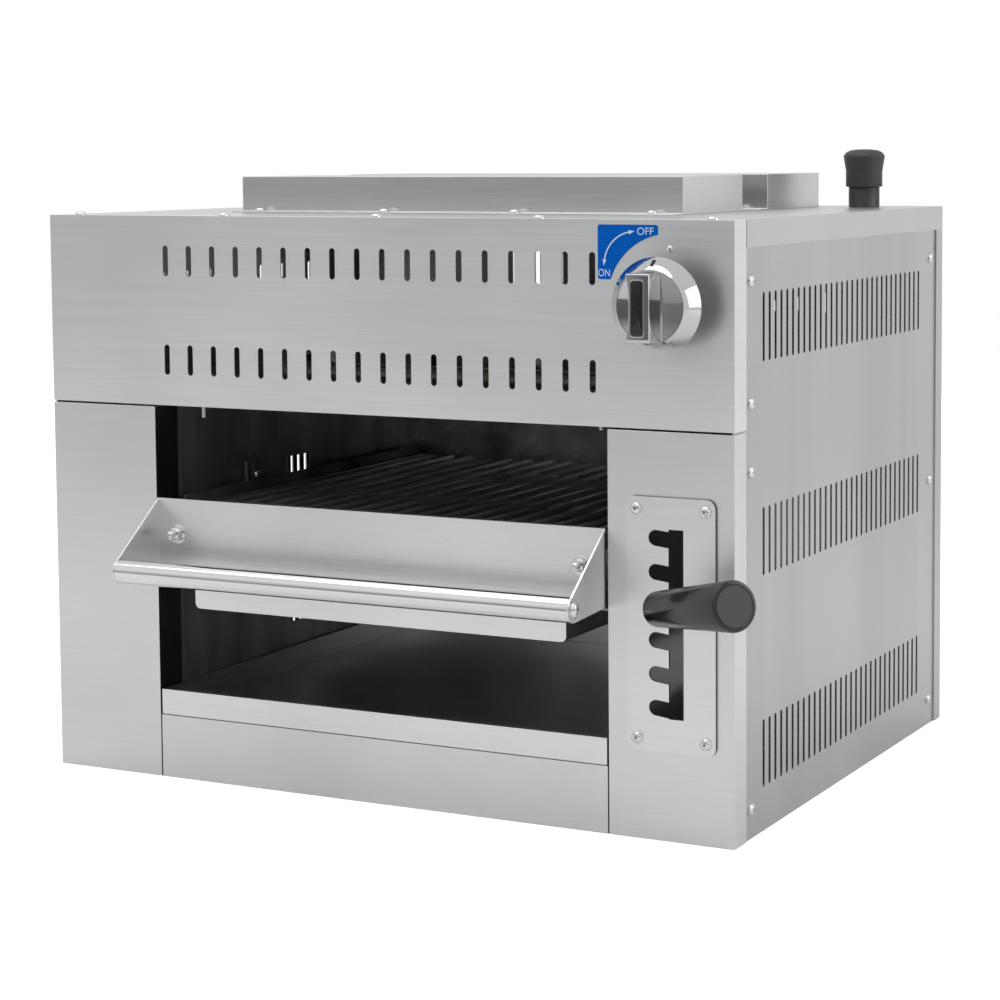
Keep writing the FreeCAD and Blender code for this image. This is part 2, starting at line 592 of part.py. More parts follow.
# Lower front panel
plinth_end = OPEN + "-plinth_seam"
plinth = block("-(%s)" % plinth_end, plinth_end, FRONT, FRONT + "+gauge", "0", "plinth_height")
fold = block("-(%s)" % plinth_end, plinth_end, FRONT + "+gauge", FRONT + "+plinth_shelf", "plinth_height-gauge",
             "plinth_height")
node("lower_front_panel", fuse(plinth, fold))

# Cavity liners, with the lift windows in the sides
cavity_back = FRONT + "+liner_depth"
for side, name in ((-1, "left_liner"), (1, "right_liner")):
    low, high = sided(side, OPEN, OPEN + "+gauge")
    liner = block(low, high, FRONT + "+column_return", cavity_back, "gauge", "fascia_bottom+gauge")
    low, high = sided(side, OPEN + "-overrun", OPEN + "+gauge+overrun")
    window = block(low, high, FRONT + "+window_front", FRONT + "+window_front+window_width",
                   "window_low", "window_high")
    node(name, cut(liner, window))
node("back_liner", block("-(%s+gauge)" % OPEN, OPEN + "+gauge", cavity_back, cavity_back + "+gauge",
                         "gauge", "fascia_bottom+gauge"))

# Crumb tray runners, along the liners
runners = []
runner_top = "crumb_low-seat_gap"
for side in (-1, 1):
    low, high = sided(side, OPEN + "-runner_width", OPEN)
    shelf = block(low, high, FRONT + "+column_return", cavity_back, runner_top + "-gauge", runner_top)
    low, high = sided(side, OPEN + "-gauge", OPEN)
    web = block(low, high, FRONT + "+column_return", cavity_back, runner_top + "-runner_height",
                runner_top + "-gauge")
    runners.append(fuse(shelf, web))
node("tray_runners", group(*runners))

# Burner deck, the cavity's ceiling
deck = block("-(%s)" % inner_wall, inner_wall, FRONT + "+gauge", BACK + "-gauge", "fascia_bottom+gauge", DECK)
openings = []
for side in (-1, 1):
    low, high = sided(side, "burner_gap/2+burner_wall+tile_seat", "burner_gap/2+burner_width-burner_wall-tile_seat")
    near = FRONT + "+burner_front+burner_wall+tile_seat"
    far = FRONT + "+burner_front+burner_depth-burner_wall-tile_seat"
    openings.append(block(low, high, near, far, "fascia_bottom+gauge-overrun", DECK + "+overrun"))
    spot = ("%d*electrode_side" % side, FRONT + "+electrode_back", "fascia_bottom+gauge-overrun")
    openings.append(rod("Z", spot, "electrode_diameter", "gauge+2*overrun"))
node("burner_deck", cut(deck, *openings))

# Infrared burners: sheet housings with a mixing tube, ceramic tiles and a radiant mesh
housings = []
tiles = []
meshes = []
for side in (-1, 1):
    low, high = sided(side, "burner_gap/2", "burner_gap/2+burner_width")
    shell = block(low, high, FRONT + "+burner_front", FRONT + "+burner_front+burner_depth",
                  DECK, DECK + "+burner_height")
    middle = "%d*(burner_gap+burner_width)/2" % side
    mixing = rod("Y", (middle, FRONT + "+burner_front-venturi_length", "manifold_height"),
                 "venturi_diameter", "venturi_length+overrun")
    low, high = sided(side, "burner_gap/2+burner_wall", "burner_gap/2+burner_width-burner_wall")
    near = FRONT + "+burner_front+burner_wall"
    far = FRONT + "+burner_front+burner_depth-burner_wall"
    hollow = block(low, high, near, far, DECK + "-overrun", DECK + "+burner_height-burner_wall")
    throat = rod("Y", (middle, FRONT + "+burner_front-venturi_length-overrun", "manifold_height"),
                 "venturi_diameter-2*burner_wall", "venturi_length+burner_wall+2*overrun")
    housings.append(cut(fuse(shell, mixing), fuse(hollow, throat)))
    tiles.append(block(low, high, near, far, DECK, DECK + "+tile_thickness"))
    edge = "tile_seat-mesh_margin"
    low, high = sided(side, "burner_gap/2+burner_wall+%s" % edge, "burner_gap/2+burner_width-burner_wall-%s" % edge)
    sheet_metal = block(low, high, near + "+" + edge, far + "-" + edge, "fascia_bottom", "fascia_bottom+gauge")
    columns = int((size("burner_width") - 2 * size("tile_seat")) / size("mesh_pitch")) - 1
    rows = int((size("burner_depth") - 2 * size("tile_seat")) / size("mesh_pitch")) - 1
    hole = size("mesh_pitch") - size("mesh_bar")
    corner_x = side * (size("burner_gap") + size("burner_width")) / 2 - columns * size("mesh_pitch") / 2
    corner_y = size("burner_front") + size("burner_depth") / 2 - rows * size("mesh_pitch") / 2
    corner_y = corner_y - size("cabinet_depth") / 2
    squares = []
    for across in range(columns):
        for along in range(rows):
            corner = FreeCAD.Vector(corner_x + across * size("mesh_pitch"), corner_y + along * size("mesh_pitch"),
                                    size("fascia_bottom") - size("overrun"))
            squares.append(Part.makeBox(hole, hole, size("gauge") + 2 * size("overrun"), corner))
    meshes.append(cut(sheet_metal, solid(Part.Compound(squares))))
node("burner_housings", group(*housings))
node("ceramic_tiles", group(*tiles))
node("radiant_mesh", group(*meshes))

# Electrode and thermocouple, hanging through the deck in their collars
for side, name, drop in ((-1, "ignition_electrode", "electrode_drop"), (1, "thermocouple", "probe_drop")):
    spot = "%d*electrode_side" % side
    stem = rod("Z", (spot, FRONT + "+electrode_back", "fascia_bottom+gauge-%s" % drop),
               "electrode_diameter", "%s+gauge+electrode_rise" % drop)
    collar = rod("Z", (spot, FRONT + "+electrode_back", DECK), "electrode_collar", "collar_rise")
    node(name, fuse(stem, collar))

# Gas valve with its plug and spindle
valve_front = FRONT + "+valve_back"
valve_rear = valve_front + "+valve_depth"
body = block("knob_across-valve_width/2", "knob_across+valve_width/2", valve_front, valve_rear,
             "knob_level-valve_width/2", "knob_level+valve_width/2")
neck = rod("Y", ("knob_across", FRONT + "+gauge", "knob_level"), "valve_neck", "valve_back-gauge")
well = rod("Y", ("knob_across", valve_front, "knob_level"), "plug_diameter+2*running_gap", "plug_length+end_float")
mouth = rod("Y", ("knob_across", FRONT, "knob_level"), "spindle_diameter+2*running_gap", "valve_back+overrun")
node("gas_valve_body", cut(fuse(body, neck), fuse(well, mouth)))
plug = rod("Y", ("knob_across", valve_front + "+end_float/2", "knob_level"), "plug_diameter", "plug_length")
socket = rod("Y", ("knob_across", valve_front, "knob_level"), "spindle_diameter+2*running_gap",
             "spindle_grip+knob_push+end_float")
node("valve_plug", cut(plug, socket))
spindle_front = FRONT + "-knob_gap-spindle_socket"
spindle_length = valve_front + "+spindle_grip-(%s)" % spindle_front
node("valve_spindle", rod("Y", ("knob_across", spindle_front, "knob_level"), "spindle_diameter", spindle_length))

# Knob: a bevelled skirt, a face and a grip bar with a black insert
skirt_front = FRONT + "-knob_gap-knob_depth"
hub = rod("Y", ("knob_across", FRONT + "-knob_gap", "knob_level"), "knob_hub", "knob_gap-hub_gap")
rim = rod("Y", ("knob_across", FRONT + "-knob_gap-knob_rim", "knob_level"), "knob_skirt", "knob_rim")
bevel = cone("Y", ("knob_across", skirt_front, "knob_level"), "knob_face", "knob_skirt", "knob_depth-knob_rim")
bar = block("knob_across-bar_width/2", "knob_across+bar_width/2", skirt_front + "-bar_depth", skirt_front + "+overrun",
            "knob_level-bar_height/2", "knob_level+bar_height/2")
drill = rod("Y", ("knob_across", spindle_front, "knob_level"), "spindle_diameter", spindle_length)
recess = block("knob_across-insert_width/2", "knob_across+insert_width/2", skirt_front + "-bar_depth-overrun",
               skirt_front + "-bar_depth+insert_depth", "knob_level-insert_height/2",
               "knob_level+insert_height/2")
node("knob", cut(fuse(hub, rim, bevel, bar), drill, recess))
node("knob_insert", block("knob_across-insert_width/2", "knob_across+insert_width/2", skirt_front + "-bar_depth",
                          skirt_front + "-bar_depth+insert_depth", "knob_level-insert_height/2",
                          "knob_level+insert_height/2"))

# Manifold, injectors, inlet pipe, elbow and supply pipe
manifold_start = "-(burner_gap+burner_width)/2-manifold_diameter"
main = rod("X", (manifold_start, FRONT + "+manifold_back", "manifold_height"), "manifold_diameter",
           "knob_across+drop_pipe-(%s)" % manifold_start)
drop = rod("Z", ("knob_across", FRONT + "+manifold_back", "manifold_height"), "drop_pipe",
           "knob_level-valve_width/2-manifold_height")
node("gas_manifold", fuse(main, drop))
injectors = []
for side in (-1, 1):
    start = ("%d*(burner_gap+burner_width)/2" % side, FRONT + "+manifold_back+manifold_diameter/2",
             "manifold_height")
    injectors.append(rod("Y", start, "injector_diameter",
                         "burner_front-venturi_length-manifold_back-manifold_diameter/2+overrun"))
node("gas_injectors", group(*injectors))
elbow_top = "knob_level+elbow_size/2"
pipe_length = "cabinet_height+inlet_rise-(%s)" % elbow_top
inlet_y = FRONT + "+inlet_back"
pipe = rod("Z", ("inlet_across", inlet_y, elbow_top), "inlet_diameter", pipe_length)
pipe_bore = rod("Z", ("inlet_across", inlet_y, elbow_top + "-overrun"), "inlet_bore", pipe_length + "+2*overrun")
node("gas_inlet_pipe", cut(pipe, pipe_bore))
node("inlet_elbow", block("inlet_across-elbow_size/2", "inlet_across+elbow_size/2", inlet_y + "-elbow_size/2",
                          inlet_y + "+elbow_size/2", "knob_level-elbow_size/2", elbow_top))
node("supply_pipe", rod("Y", ("inlet_across", valve_rear, "knob_level"), "supply_diameter",
                        "%s-elbow_size/2-(%s)" % (inlet_y, valve_rear)))
cap_low = "cabinet_height+inlet_rise+seat_gap+cap_crown-cap_height"
cap_body = rod("Z", ("inlet_across", inlet_y, cap_low), "cap_diameter", "cap_height-cap_rim")
cap_head = cone("Z", ("inlet_across", inlet_y, cap_low + "+cap_height-cap_rim"), "cap_diameter", "cap_flare",
                "cap_rim")
cap_bore = rod("Z", ("inlet_across", inlet_y, cap_low + "-overrun"), "inlet_diameter+2*running_gap",
               "cap_height-cap_crown+overrun")
node("inlet_cap", cut(fuse(cap_body, cap_head), cap_bore))

# Flue boxes on the top panel
hoods = []
for order in (0, 1):
    near = FRONT + "+flue_front+%d*flue_spacing" % order
    far = near + "+flue_depth"
    hood = block("-flue_width/2", "flue_width/2", near, far, TOP, TOP + "+flue_height")
    flange = block("-flue_width/2", "flue_width/2", near + "-flue_flange", near, TOP, TOP + "+flue_gauge")
    inside = block("-flue_width/2+flue_gauge", "flue_width/2-flue_gauge", near + "+flue_gauge",
                   far + "-flue_gauge", TOP + "-overrun", TOP + "+flue_height-flue_gauge")
    outlet = block("-flue_width/2+flue_margin", "flue_width/2-flue_margin", far + "-flue_gauge-overrun",
                   far + "+overrun", TOP + "+(flue_height-flue_outlet)/2", TOP + "+(flue_height+flue_outlet)/2")
    hoods.append(cut(fuse(hood, flange), fuse(inside, outlet)))
node("flue_boxes", group(*hoods))

# Screws, as heads seated on their panels
top_heads = []
for order in (0, 1):
    for share in (-3, -1, 1, 3):
        start = ("%d*flue_screw_pitch/2" % share, FRONT + "+flue_front-flue_screw_inset+%d*flue_spacing" % order,
                 TOP + "+flue_gauge")
        top_heads.append(cone("Z", start, "screw_head", "screw_head*screw_share", "screw_rise"))
for share in (-2, -1, 0, 1, 2):
    start = ("%d*top_screw_pitch" % share, FRONT + "+top_screw_back", TOP)
    top_heads.append(cone("Z", start, "screw_head", "screw_head*screw_share", "screw_rise"))
front_row = FRONT + "+side_screw_front"
rear_row = BACK + "-side_screw_rear"
side_spots = [(front_row, "side_screw_high"), (rear_row, "side_screw_high"), (front_row, "side_screw_front_upper"),
              (front_row, "side_screw_front_lower"), (rear_row, "side_screw_rear_middle"),
              (front_row, "side_screw_low"), (rear_row, "side_screw_low")]
side_heads = []
for along, level in side_spots:
    side_heads.append(cone("X", (RIGHT + "-gauge", along, level), "screw_head", "screw_head*screw_share", "screw_rise"))
    start = (LEFT + "+gauge-screw_rise", along, level)
    side_heads.append(cone("X", start, "screw_head*screw_share", "screw_head", "screw_rise"))
node("cabinet_screws", group(*top_heads, *side_heads))

# Gate plate with its channel and notches, and its screws
gate_front = FRONT + "-gate_gauge"
blank = block("gate_left", "gate_left+gate_width", gate_front, FRONT, "gate_low", "gate_low+gate_height")
blank = rounded(blank, "y", "gate_corner")
channel = block("channel_left", "channel_right", gate_front + "-overrun", FRONT + "+overrun",
                "channel_low", "channel_high")
slope = math.radians(size("notch_slope"))
along = FreeCAD.Vector(math.cos(slope), 0, -math.sin(slope))
across = FreeCAD.Vector(math.sin(slope), 0, math.cos(slope))
run = (size("channel_left") + size("overrun") - size("notch_reach")) / 2
depth = FreeCAD.Vector(0, size("gate_gauge") + 2 * size("overrun"), 0)
notches = []
for number in range(int(size("notch_count"))):
    end = FreeCAD.Vector(size("notch_reach"), 0, size("notch_top") - number * size("notch_pitch"))
    end.y = -size("cabinet_depth") / 2 - size("gate_gauge") - size("overrun")
    notches.append(obround(across, along, end + along * run, size("notch_height") / 2, run, depth))
cutter = fuse(channel, *[solid(notch) for notch in notches])
node("gate_plate", cut(blank, cutter))
gate_heads = []
for side in (0, 1):
    for end in (0, 1):
        start = ("gate_left+gate_screw_side+%d*(gate_width-2*gate_screw_side)" % side, gate_front + "-screw_rise",
                 "gate_low+gate_screw_end+%d*(gate_height-2*gate_screw_end)" % end)
        gate_heads.append(cone("Y", start, "screw_head*screw_share", "screw_head", "screw_rise"))
node("gate_screws", group(*gate_heads))

# Control label, cut back around the knob, and the index dot
label = block("label_left", "label_left+label_width", FRONT + "-label_gauge", FRONT,
              "label_low", "label_low+label_height")
label = rounded(label, "y", "label_corner")
ring = rod("Y", ("knob_across", FRONT + "-label_gauge-overrun", "knob_level"), "2*label_ring",
           "label_gauge+2*overrun")
node("control_label", cut(label, ring))
node("index_dot", cone("Y", ("knob_across", FRONT + "-dot_rise", "dot_level"), "dot_diameter*dot_share",
                       "dot_diameter", "dot_rise"))

# Guide rods with their collars, one each side of the cavity
guides = []
collars = []
guide_y = FRONT + "+drive_back"
for side in (-1, 1):
    start = ("%d*guide_across" % side, guide_y, "gauge")
    guides.append(rod("Z", start, "guide_diameter", "fascia_bottom"))
    for level in ("gauge", "fascia_bottom+gauge-collar_height"):
        place_of = ("%d*guide_across" % side, guide_y, level)
        ring = rod("Z", place_of, "collar_diameter", "collar_height")
        bore = rod("Z", (place_of[0], guide_y, "gauge-overrun"), "guide_diameter", "fascia_bottom+2*overrun")
        collars.append(cut(ring, bore))
node("guide_rods", group(*guides))
node("guide_collars", group(*collars))

# Carrier: rails with two ledges, a rear cross member, front hooks, lift arms and slide blocks
rail_outer = OPEN + "-rail_gap"
rail_y = (FRONT + "+rail_front", FRONT + "+rail_rear")
for side, name in ((-1, "left_carrier_rail"), (1, "right_carrier_rail")):
    low, high = sided(side, rail_outer + "-rail_gauge", rail_outer)
    web = block(low, high, *rail_y, "rail_low", "rail_high")
    low, high = sided(side, rail_outer + "-grid_ledge_width", rail_outer)
    upper = block(low, high, *rail_y, "grid_ledge-rail_gauge", "grid_ledge")
    low, high = sided(side, rail_outer + "-tray_ledge_width", rail_outer)
    lower = block(low, high, *rail_y, "tray_ledge-rail_gauge", "tray_ledge")
    node(name, fuse(web, upper, lower))
cross_y = (FRONT + "+rail_rear", FRONT + "+rail_rear+cross_gauge")
beam = [block("-(%s)" % rail_outer, rail_outer, *cross_y, "rail_low", "cross_top")]
for side in (-1, 1):
    low, high = sided(side, rail_outer + "-tab_width", rail_outer)
    beam.append(block(low, high, *cross_y, "cross_top", "tab_top"))
node("rear_cross_member", fuse(*beam))
hooks = []
bolts = []
for side in (-1, 1):
    low, high = sided(side, rail_outer, rail_outer + "+hook_gauge")
    near = FRONT + "+hook_front"
    plate = block(low, high, near, near + "+hook_length", "hook_low", "hook_high")
    low, high = sided(side, rail_outer + "-overrun", rail_outer + "+hook_gauge+overrun")
    gap = block(low, high, near + "+hook_lip", near + "+hook_lip+hook_slot", "hook_high-hook_lip-hook_slot_depth",
                "hook_high-hook_lip")
    hooks.append(cut(plate, gap))
node("front_hooks", group(*hooks))
bolt_y = FRONT + "+hook_front+hook_lip+hook_slot+hook_bolt/2"
for side in (-1, 1):
    low, high = sided(side, rail_outer + "-hook_bolt_rise", rail_outer)
    bolts.append(rod("X", (low, bolt_y, "rail_high+hook_bolt/2"), "hook_bolt", "hook_bolt_rise"))
node("hook_bolts", group(*bolts))
brackets = []
for side in (-1, 1):
    low, high = sided(side, rail_outer, "guide_across-block_size/2")
    arm = block(low, high, guide_y + "-arm_width/2", guide_y + "+arm_width/2", "arm_low",
                "block_low+block_height")
    low, high = sided(side, "guide_across-block_size/2", "guide_across+block_size/2")
    slide = block(low, high, guide_y + "-block_size/2", guide_y + "+block_size/2", "block_low",
                  "block_low+block_height")
    bore = rod("Z", ("%d*guide_across" % side, guide_y, "block_low-overrun"), "guide_diameter+2*running_gap",
               "block_height+2*overrun")
    brackets.append(cut(fuse(arm, slide), bore))
node("lift_brackets", group(*brackets))

# Lever pivot: bracket on the right liner, fixed pin, turning sleeve and circlip
tilt = "tan(lever_tilt * 1deg)"
rod_level = "notch_top-(lever_rest_notch-1)*notch_pitch-rod_drop"
pivot_y = FRONT + "+lever_reach"
pivot_z = "(%s-lever_reach*%s)" % (rod_level, tilt)
drive_z = "(%s-drive_back*%s)" % (rod_level, tilt)
bracket_x = OPEN + "+gauge"
half = "bracket_size/2"
foot = block(bracket_x, bracket_x + "+bracket_gauge", pivot_y + "-" + half, cavity_back,
             pivot_z + "-" + half, pivot_z + "+" + half)
boss = rod("X", (bracket_x + "+bracket_gauge", pivot_y, pivot_z), "boss_diameter",
           "sleeve_left-end_float-(%s+bracket_gauge)" % bracket_x)
node("lever_bracket", fuse(foot, boss))
pin_start = "sleeve_left-end_float"
pin_length = "sleeve_length+2*end_float+circlip_gauge+pivot_overrun"
node("lever_pivot_pin", rod("X", (pin_start, pivot_y, pivot_z), "pivot_diameter", pin_length))
clip = rod("X", ("sleeve_left+sleeve_length+end_float", pivot_y, pivot_z), "circlip_diameter", "circlip_gauge")
clip_bore = rod("X", (pin_start, pivot_y, pivot_z), "pivot_diameter", pin_length)
node("pivot_circlip", cut(clip, clip_bore))
sleeve = rod("X", ("sleeve_left", pivot_y, pivot_z), "sleeve_diameter", "sleeve_length")
sleeve_bore = rod("X", ("sleeve_left-overrun", pivot_y, pivot_z), "pivot_diameter+2*running_gap",
                  "sleeve_length+2*overrun")
node("pivot_sleeve", cut(sleeve, sleeve_bore))

# Drive pin of the carrier
node("drive_pin", rod("X", ("guide_across+block_size/2", guide_y, drive_z), "drive_diameter",
                      "drive_outer-guide_across-block_size/2"))

# Lever, made level with its pivot at the origin, then tilted about the pivot
reach = "lever_reach/cos(lever_tilt * 1deg)"
bar_end = "-(%s-lever_bar_front)" % reach
bar = block("-lever_gauge/2", "lever_gauge/2", bar_end, "0", "-lever_bar/2", "lever_bar/2")
hub = rod("X", ("-hub_width/2", "0", "0"), "hub_diameter", "hub_width")
hub_bore = rod("X", ("-hub_width/2-overrun", "0", "0"), "sleeve_diameter+2*running_gap", "hub_width+2*overrun")
slot_middle = "-(lever_reach-drive_back)/cos(lever_tilt * 1deg)"
slot = block("-lever_gauge/2-overrun", "lever_gauge/2+overrun", slot_middle + "-drive_travel/2",
             slot_middle + "+drive_travel/2", "-drive_diameter/2-drive_play", "drive_diameter/2+drive_play")
ends = []
for end in (-1, 1):
    start = ("-lever_gauge/2-overrun", slot_middle + "+%d*drive_travel/2" % end, "0")
    ends.append(rod("X", start, "drive_diameter+2*drive_play", "lever_gauge+2*overrun"))
lever = cut(fuse(bar, hub), fuse(hub_bore, slot, *ends))
lever_turn = FreeCAD.Rotation(FreeCAD.Vector(1, 0, 0), -size("lever_tilt"))
lever.Placement.Rotation = lever_turn
place(lever, "rod_across", pivot_y, pivot_z)
node("lever_bar", lever)

# Bent rod at the lever's front, and the black grip on it, in the lever's own frame
reach_length = size("lever_reach") / math.cos(math.radians(size("lever_tilt")))
rod_radius = size("rod_diameter") / 2
rear_end = FreeCAD.Vector(0, -(reach_length - size("lever_bar_front")), 0)
elbow = FreeCAD.Vector(0, -(reach_length + size("rod_stub")), 0)
angle = math.radians(size("grip_angle"))
rise = math.radians(size("grip_rise"))
heading = FreeCAD.Vector(math.sin(angle), -math.cos(angle) * math.cos(rise), math.sin(rise)).normalize()
forward = FreeCAD.Vector(0, -1, 0)
turn = forward.getAngle(heading)
setback = size("rod_bend") * math.tan(turn / 2)
bend_in = elbow - forward * setback
bend_out = elbow + heading * setback
inward = (heading - forward).normalize()
bend_centre = elbow + inward * (size("rod_bend") / math.cos(turn / 2))
bend_middle = bend_centre - inward * size("rod_bend")
grip_foot = bend_out + heading * size("grip_start")
path = Part.Wire([Part.LineSegment(rear_end, bend_in).toShape(), Part.Arc(bend_in, bend_middle, bend_out).toShape(),
                  Part.LineSegment(bend_out, grip_foot).toShape()])
section = Part.Wire(Part.Circle(rear_end, forward, rod_radius).toShape())
stem = solid(path.makePipeShell([section], True, False))
stem.Placement.Rotation = lever_turn
place(stem, "rod_across", pivot_y, pivot_z)
node("lever_rod", stem)
grip_body = Part.makeCone(size("grip_root") / 2, size("grip_end") / 2, size("grip_length"), grip_foot, heading)
grip_far = grip_foot + heading * size("grip_length")
grip_cap = Part.makeCone(size("grip_end") / 2, size("grip_end") / 2 - size("grip_bevel"), size("grip_bevel"),
                         grip_far, heading)
grip = solid(grip_body.fuse(grip_cap))
grip.Placement.Rotation = lever_turn
place(grip, "rod_across", pivot_y, pivot_z)
node("lever_grip", grip)

# Pull-out grid: rods on cross strips between two side bars, with ears for the shield
bars = []
ears = []
grid_low = "grid_ledge+seat_gap"
grid_y = (FRONT + "+grid_front", FRONT + "+grid_rear")
strip_top = "grid_ledge+seat_gap+strip_gauge"
for side in (-1, 1):
    low, high = sided(side, "grid_bar_outer-grid_bar", "grid_bar_outer")
    bars.append(block(low, high, *grid_y, grid_low, grid_low + "+grid_bar_height"))
    low, high = sided(side, "grid_bar_outer-ear_width", "grid_bar_outer")
    ears.append(block(low, high, FRONT, FRONT + "+grid_front", "ear_low", grid_low + "+grid_bar_height"))
for spot in ("strip_front", "strip_middle", "strip_rear"):
    bars.append(block("-(grid_bar_outer-grid_bar)", "grid_bar_outer-grid_bar", FRONT + "+%s-strip_width/2" % spot,
                      FRONT + "+%s+strip_width/2" % spot, grid_low, strip_top))
count = int(size("grid_rod_count"))
for number in range(count):
    start = ("%.1f*grid_rod_pitch" % (number - (count - 1) / 2), FRONT + "+grid_rod_front",
             strip_top + "+grid_rod/2-weld_sink")
    bars.append(rod("Y", start, "grid_rod", "grid_rear-grid_rod_front"))
node("cooking_grid", fuse(*bars))
node("grid_ears", group(*ears))

# Heat shield with its wings, the handle tube and the fasteners
shield_half = "(%s-shield_side)" % OPEN
shield_front = FRONT + "-shield_gauge"
plate = block("-" + shield_half, shield_half, shield_front, FRONT, "shield_low", "shield_high")
wings = [plate]
front_y = -size("cabinet_depth") / 2
half_width = size("cabinet_width") / 2 - size("column_width") - size("shield_side")
tube_radius = size("handle_diameter") / 2
tube_y = front_y - size("handle_reach")
level = size("handle_level")
reach_out = math.hypot(size("handle_reach"), size("shield_high") - level)
lean = math.atan2(size("shield_high") - level, size("handle_reach")) + math.asin(tube_radius / reach_out)
touch = FreeCAD.Vector(0, tube_y - tube_radius * math.sin(lean), level + tube_radius * math.cos(lean))
for side in (-1, 1):
    wall = half_width - size("shield_gauge") if side > 0 else -half_width
    outline = [FreeCAD.Vector(0, front_y, size("shield_high")), touch, FreeCAD.Vector(0, tube_y, level),
               FreeCAD.Vector(0, tube_y, level - tube_radius),
               FreeCAD.Vector(0, front_y, size("shield_low"))]
    outline = [point + FreeCAD.Vector(wall, 0, 0) for point in outline]
    wing = Part.Face(Part.makePolygon(outline + outline[:1])).extrude(FreeCAD.Vector(size("shield_gauge"), 0, 0))
    wings.append(solid(wing))
    low, high = sided(side, shield_half + "-shield_gauge", shield_half)
    wings.append(rod("X", (low, FRONT + "-handle_reach", "handle_level"), "handle_diameter", "shield_gauge"))
node("heat_shield", fuse(*wings))
tube_half = "(%s-shield_gauge)" % shield_half
tube = rod("X", ("-" + tube_half, FRONT + "-handle_reach", "handle_level"), "handle_diameter", "2*" + tube_half)
tube_bore = rod("X", ("-%s-overrun" % tube_half, FRONT + "-handle_reach", "handle_level"),
                "handle_diameter-2*handle_wall", "2*%s+2*overrun" % tube_half)
node("handle_tube", cut(tube, tube_bore))
heads = []
for side in (-1, 1):
    wide, narrow = "handle_screw", "handle_screw*screw_share"
    start = shield_half
    if side < 0:
        wide, narrow = narrow, wide
        start = "-%s-handle_screw_rise" % shield_half
    heads.append(cone("X", (start, FRONT + "-handle_reach", "handle_level"), wide, narrow, "handle_screw_rise"))
node("handle_screws", group(*heads))
fasteners = []
for side in (-1, 1):
    x = "%d*bolt_across" % side
    washer = rod("Y", (x, shield_front + "-washer_gauge", "bolt_level"), "washer_diameter", "washer_gauge")
    shank = rod("Y", (x, shield_front + "-bolt_reach", "bolt_level"), "bolt_diameter", "bolt_reach")
    nut = doc.addObject("Part::Prism", "Nut")
    nut.Polygon = 6
    nut.Placement.Rotation = TURNS["Y"]
    nut.setExpression("Circumradius", bound("nut_size/2"))
    nut.setExpression("Height", bound("nut_height"))
    place(nut, x, shield_front + "-washer_gauge-nut_height", "bolt_level")
    fasteners.append(fuse(washer, nut, shank))
node("shield_bolts", group(*fasteners))

# Drip tray, hung by its side flanges, and the crumb tray
drip_y = (FRONT + "+drip_front", FRONT + "+drip_front+drip_length")
pan = rounded(block("-drip_half", "drip_half", *drip_y, "drip_low", "drip_high"), "y", "drip_corner")
square = block("-drip_half", "drip_half", *drip_y, "drip_high-drip_corner", "drip_high")
hollow = block("-drip_half+drip_wall", "drip_half-drip_wall", drip_y[0] + "+drip_wall", drip_y[1] + "-drip_wall",
               "drip_low+drip_wall", "drip_high+overrun+drip_corner")
hollow = rounded(hollow, "y", "drip_corner")
pan = [cut(fuse(pan, square), hollow)]
flange_low = "tray_ledge+seat_gap"
for side in (-1, 1):
    low, high = sided(side, "drip_half", "drip_half+drip_flange")
    pan.append(block(low, high, drip_y[0] + "+rail_front", drip_y[1], flange_low, flange_low + "+drip_wall"))
node("drip_tray", fuse(*pan))
crumb_y = (FRONT, FRONT + "+crumb_length")
tray = block("-crumb_half", "crumb_half", *crumb_y, "crumb_low", "crumb_high")
hollow = block("-crumb_half+crumb_wall", "crumb_half-crumb_wall", crumb_y[0] + "+crumb_wall",
               crumb_y[1] + "-crumb_wall", "crumb_low+crumb_wall", "crumb_high+overrun")
lip = block("-crumb_half", "crumb_half", FRONT, FRONT + "+crumb_lip", "crumb_high-crumb_wall", "crumb_high")
node("crumb_tray", fuse(cut(tray, hollow), lip))

# Check every object, then write each piece
doc.recompute()
for thing in doc.Objects:
    if "Invalid" in thing.State or "Error" in thing.State:
        raise RuntimeError("%s (%s) did not build: %s" % (thing.Name, thing.Label, thing.State))
for piece in nodes:
    if piece.Shape.isNull() or not piece.Shape.isValid() or not piece.Shape.Solids:
        raise RuntimeError("%s has no valid solid" % piece.Label)
    piece.Shape.exportStep("parts/%s.step" % piece.Label)
    print("%-20s solids %2d volume %10.1f" % (piece.Label, len(piece.Shape.Solids), piece.Shape.Volume))
print("%d nodes" % len(nodes))
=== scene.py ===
import math

import bmesh
import bpy
from mathutils import Euler, Matrix, Vector


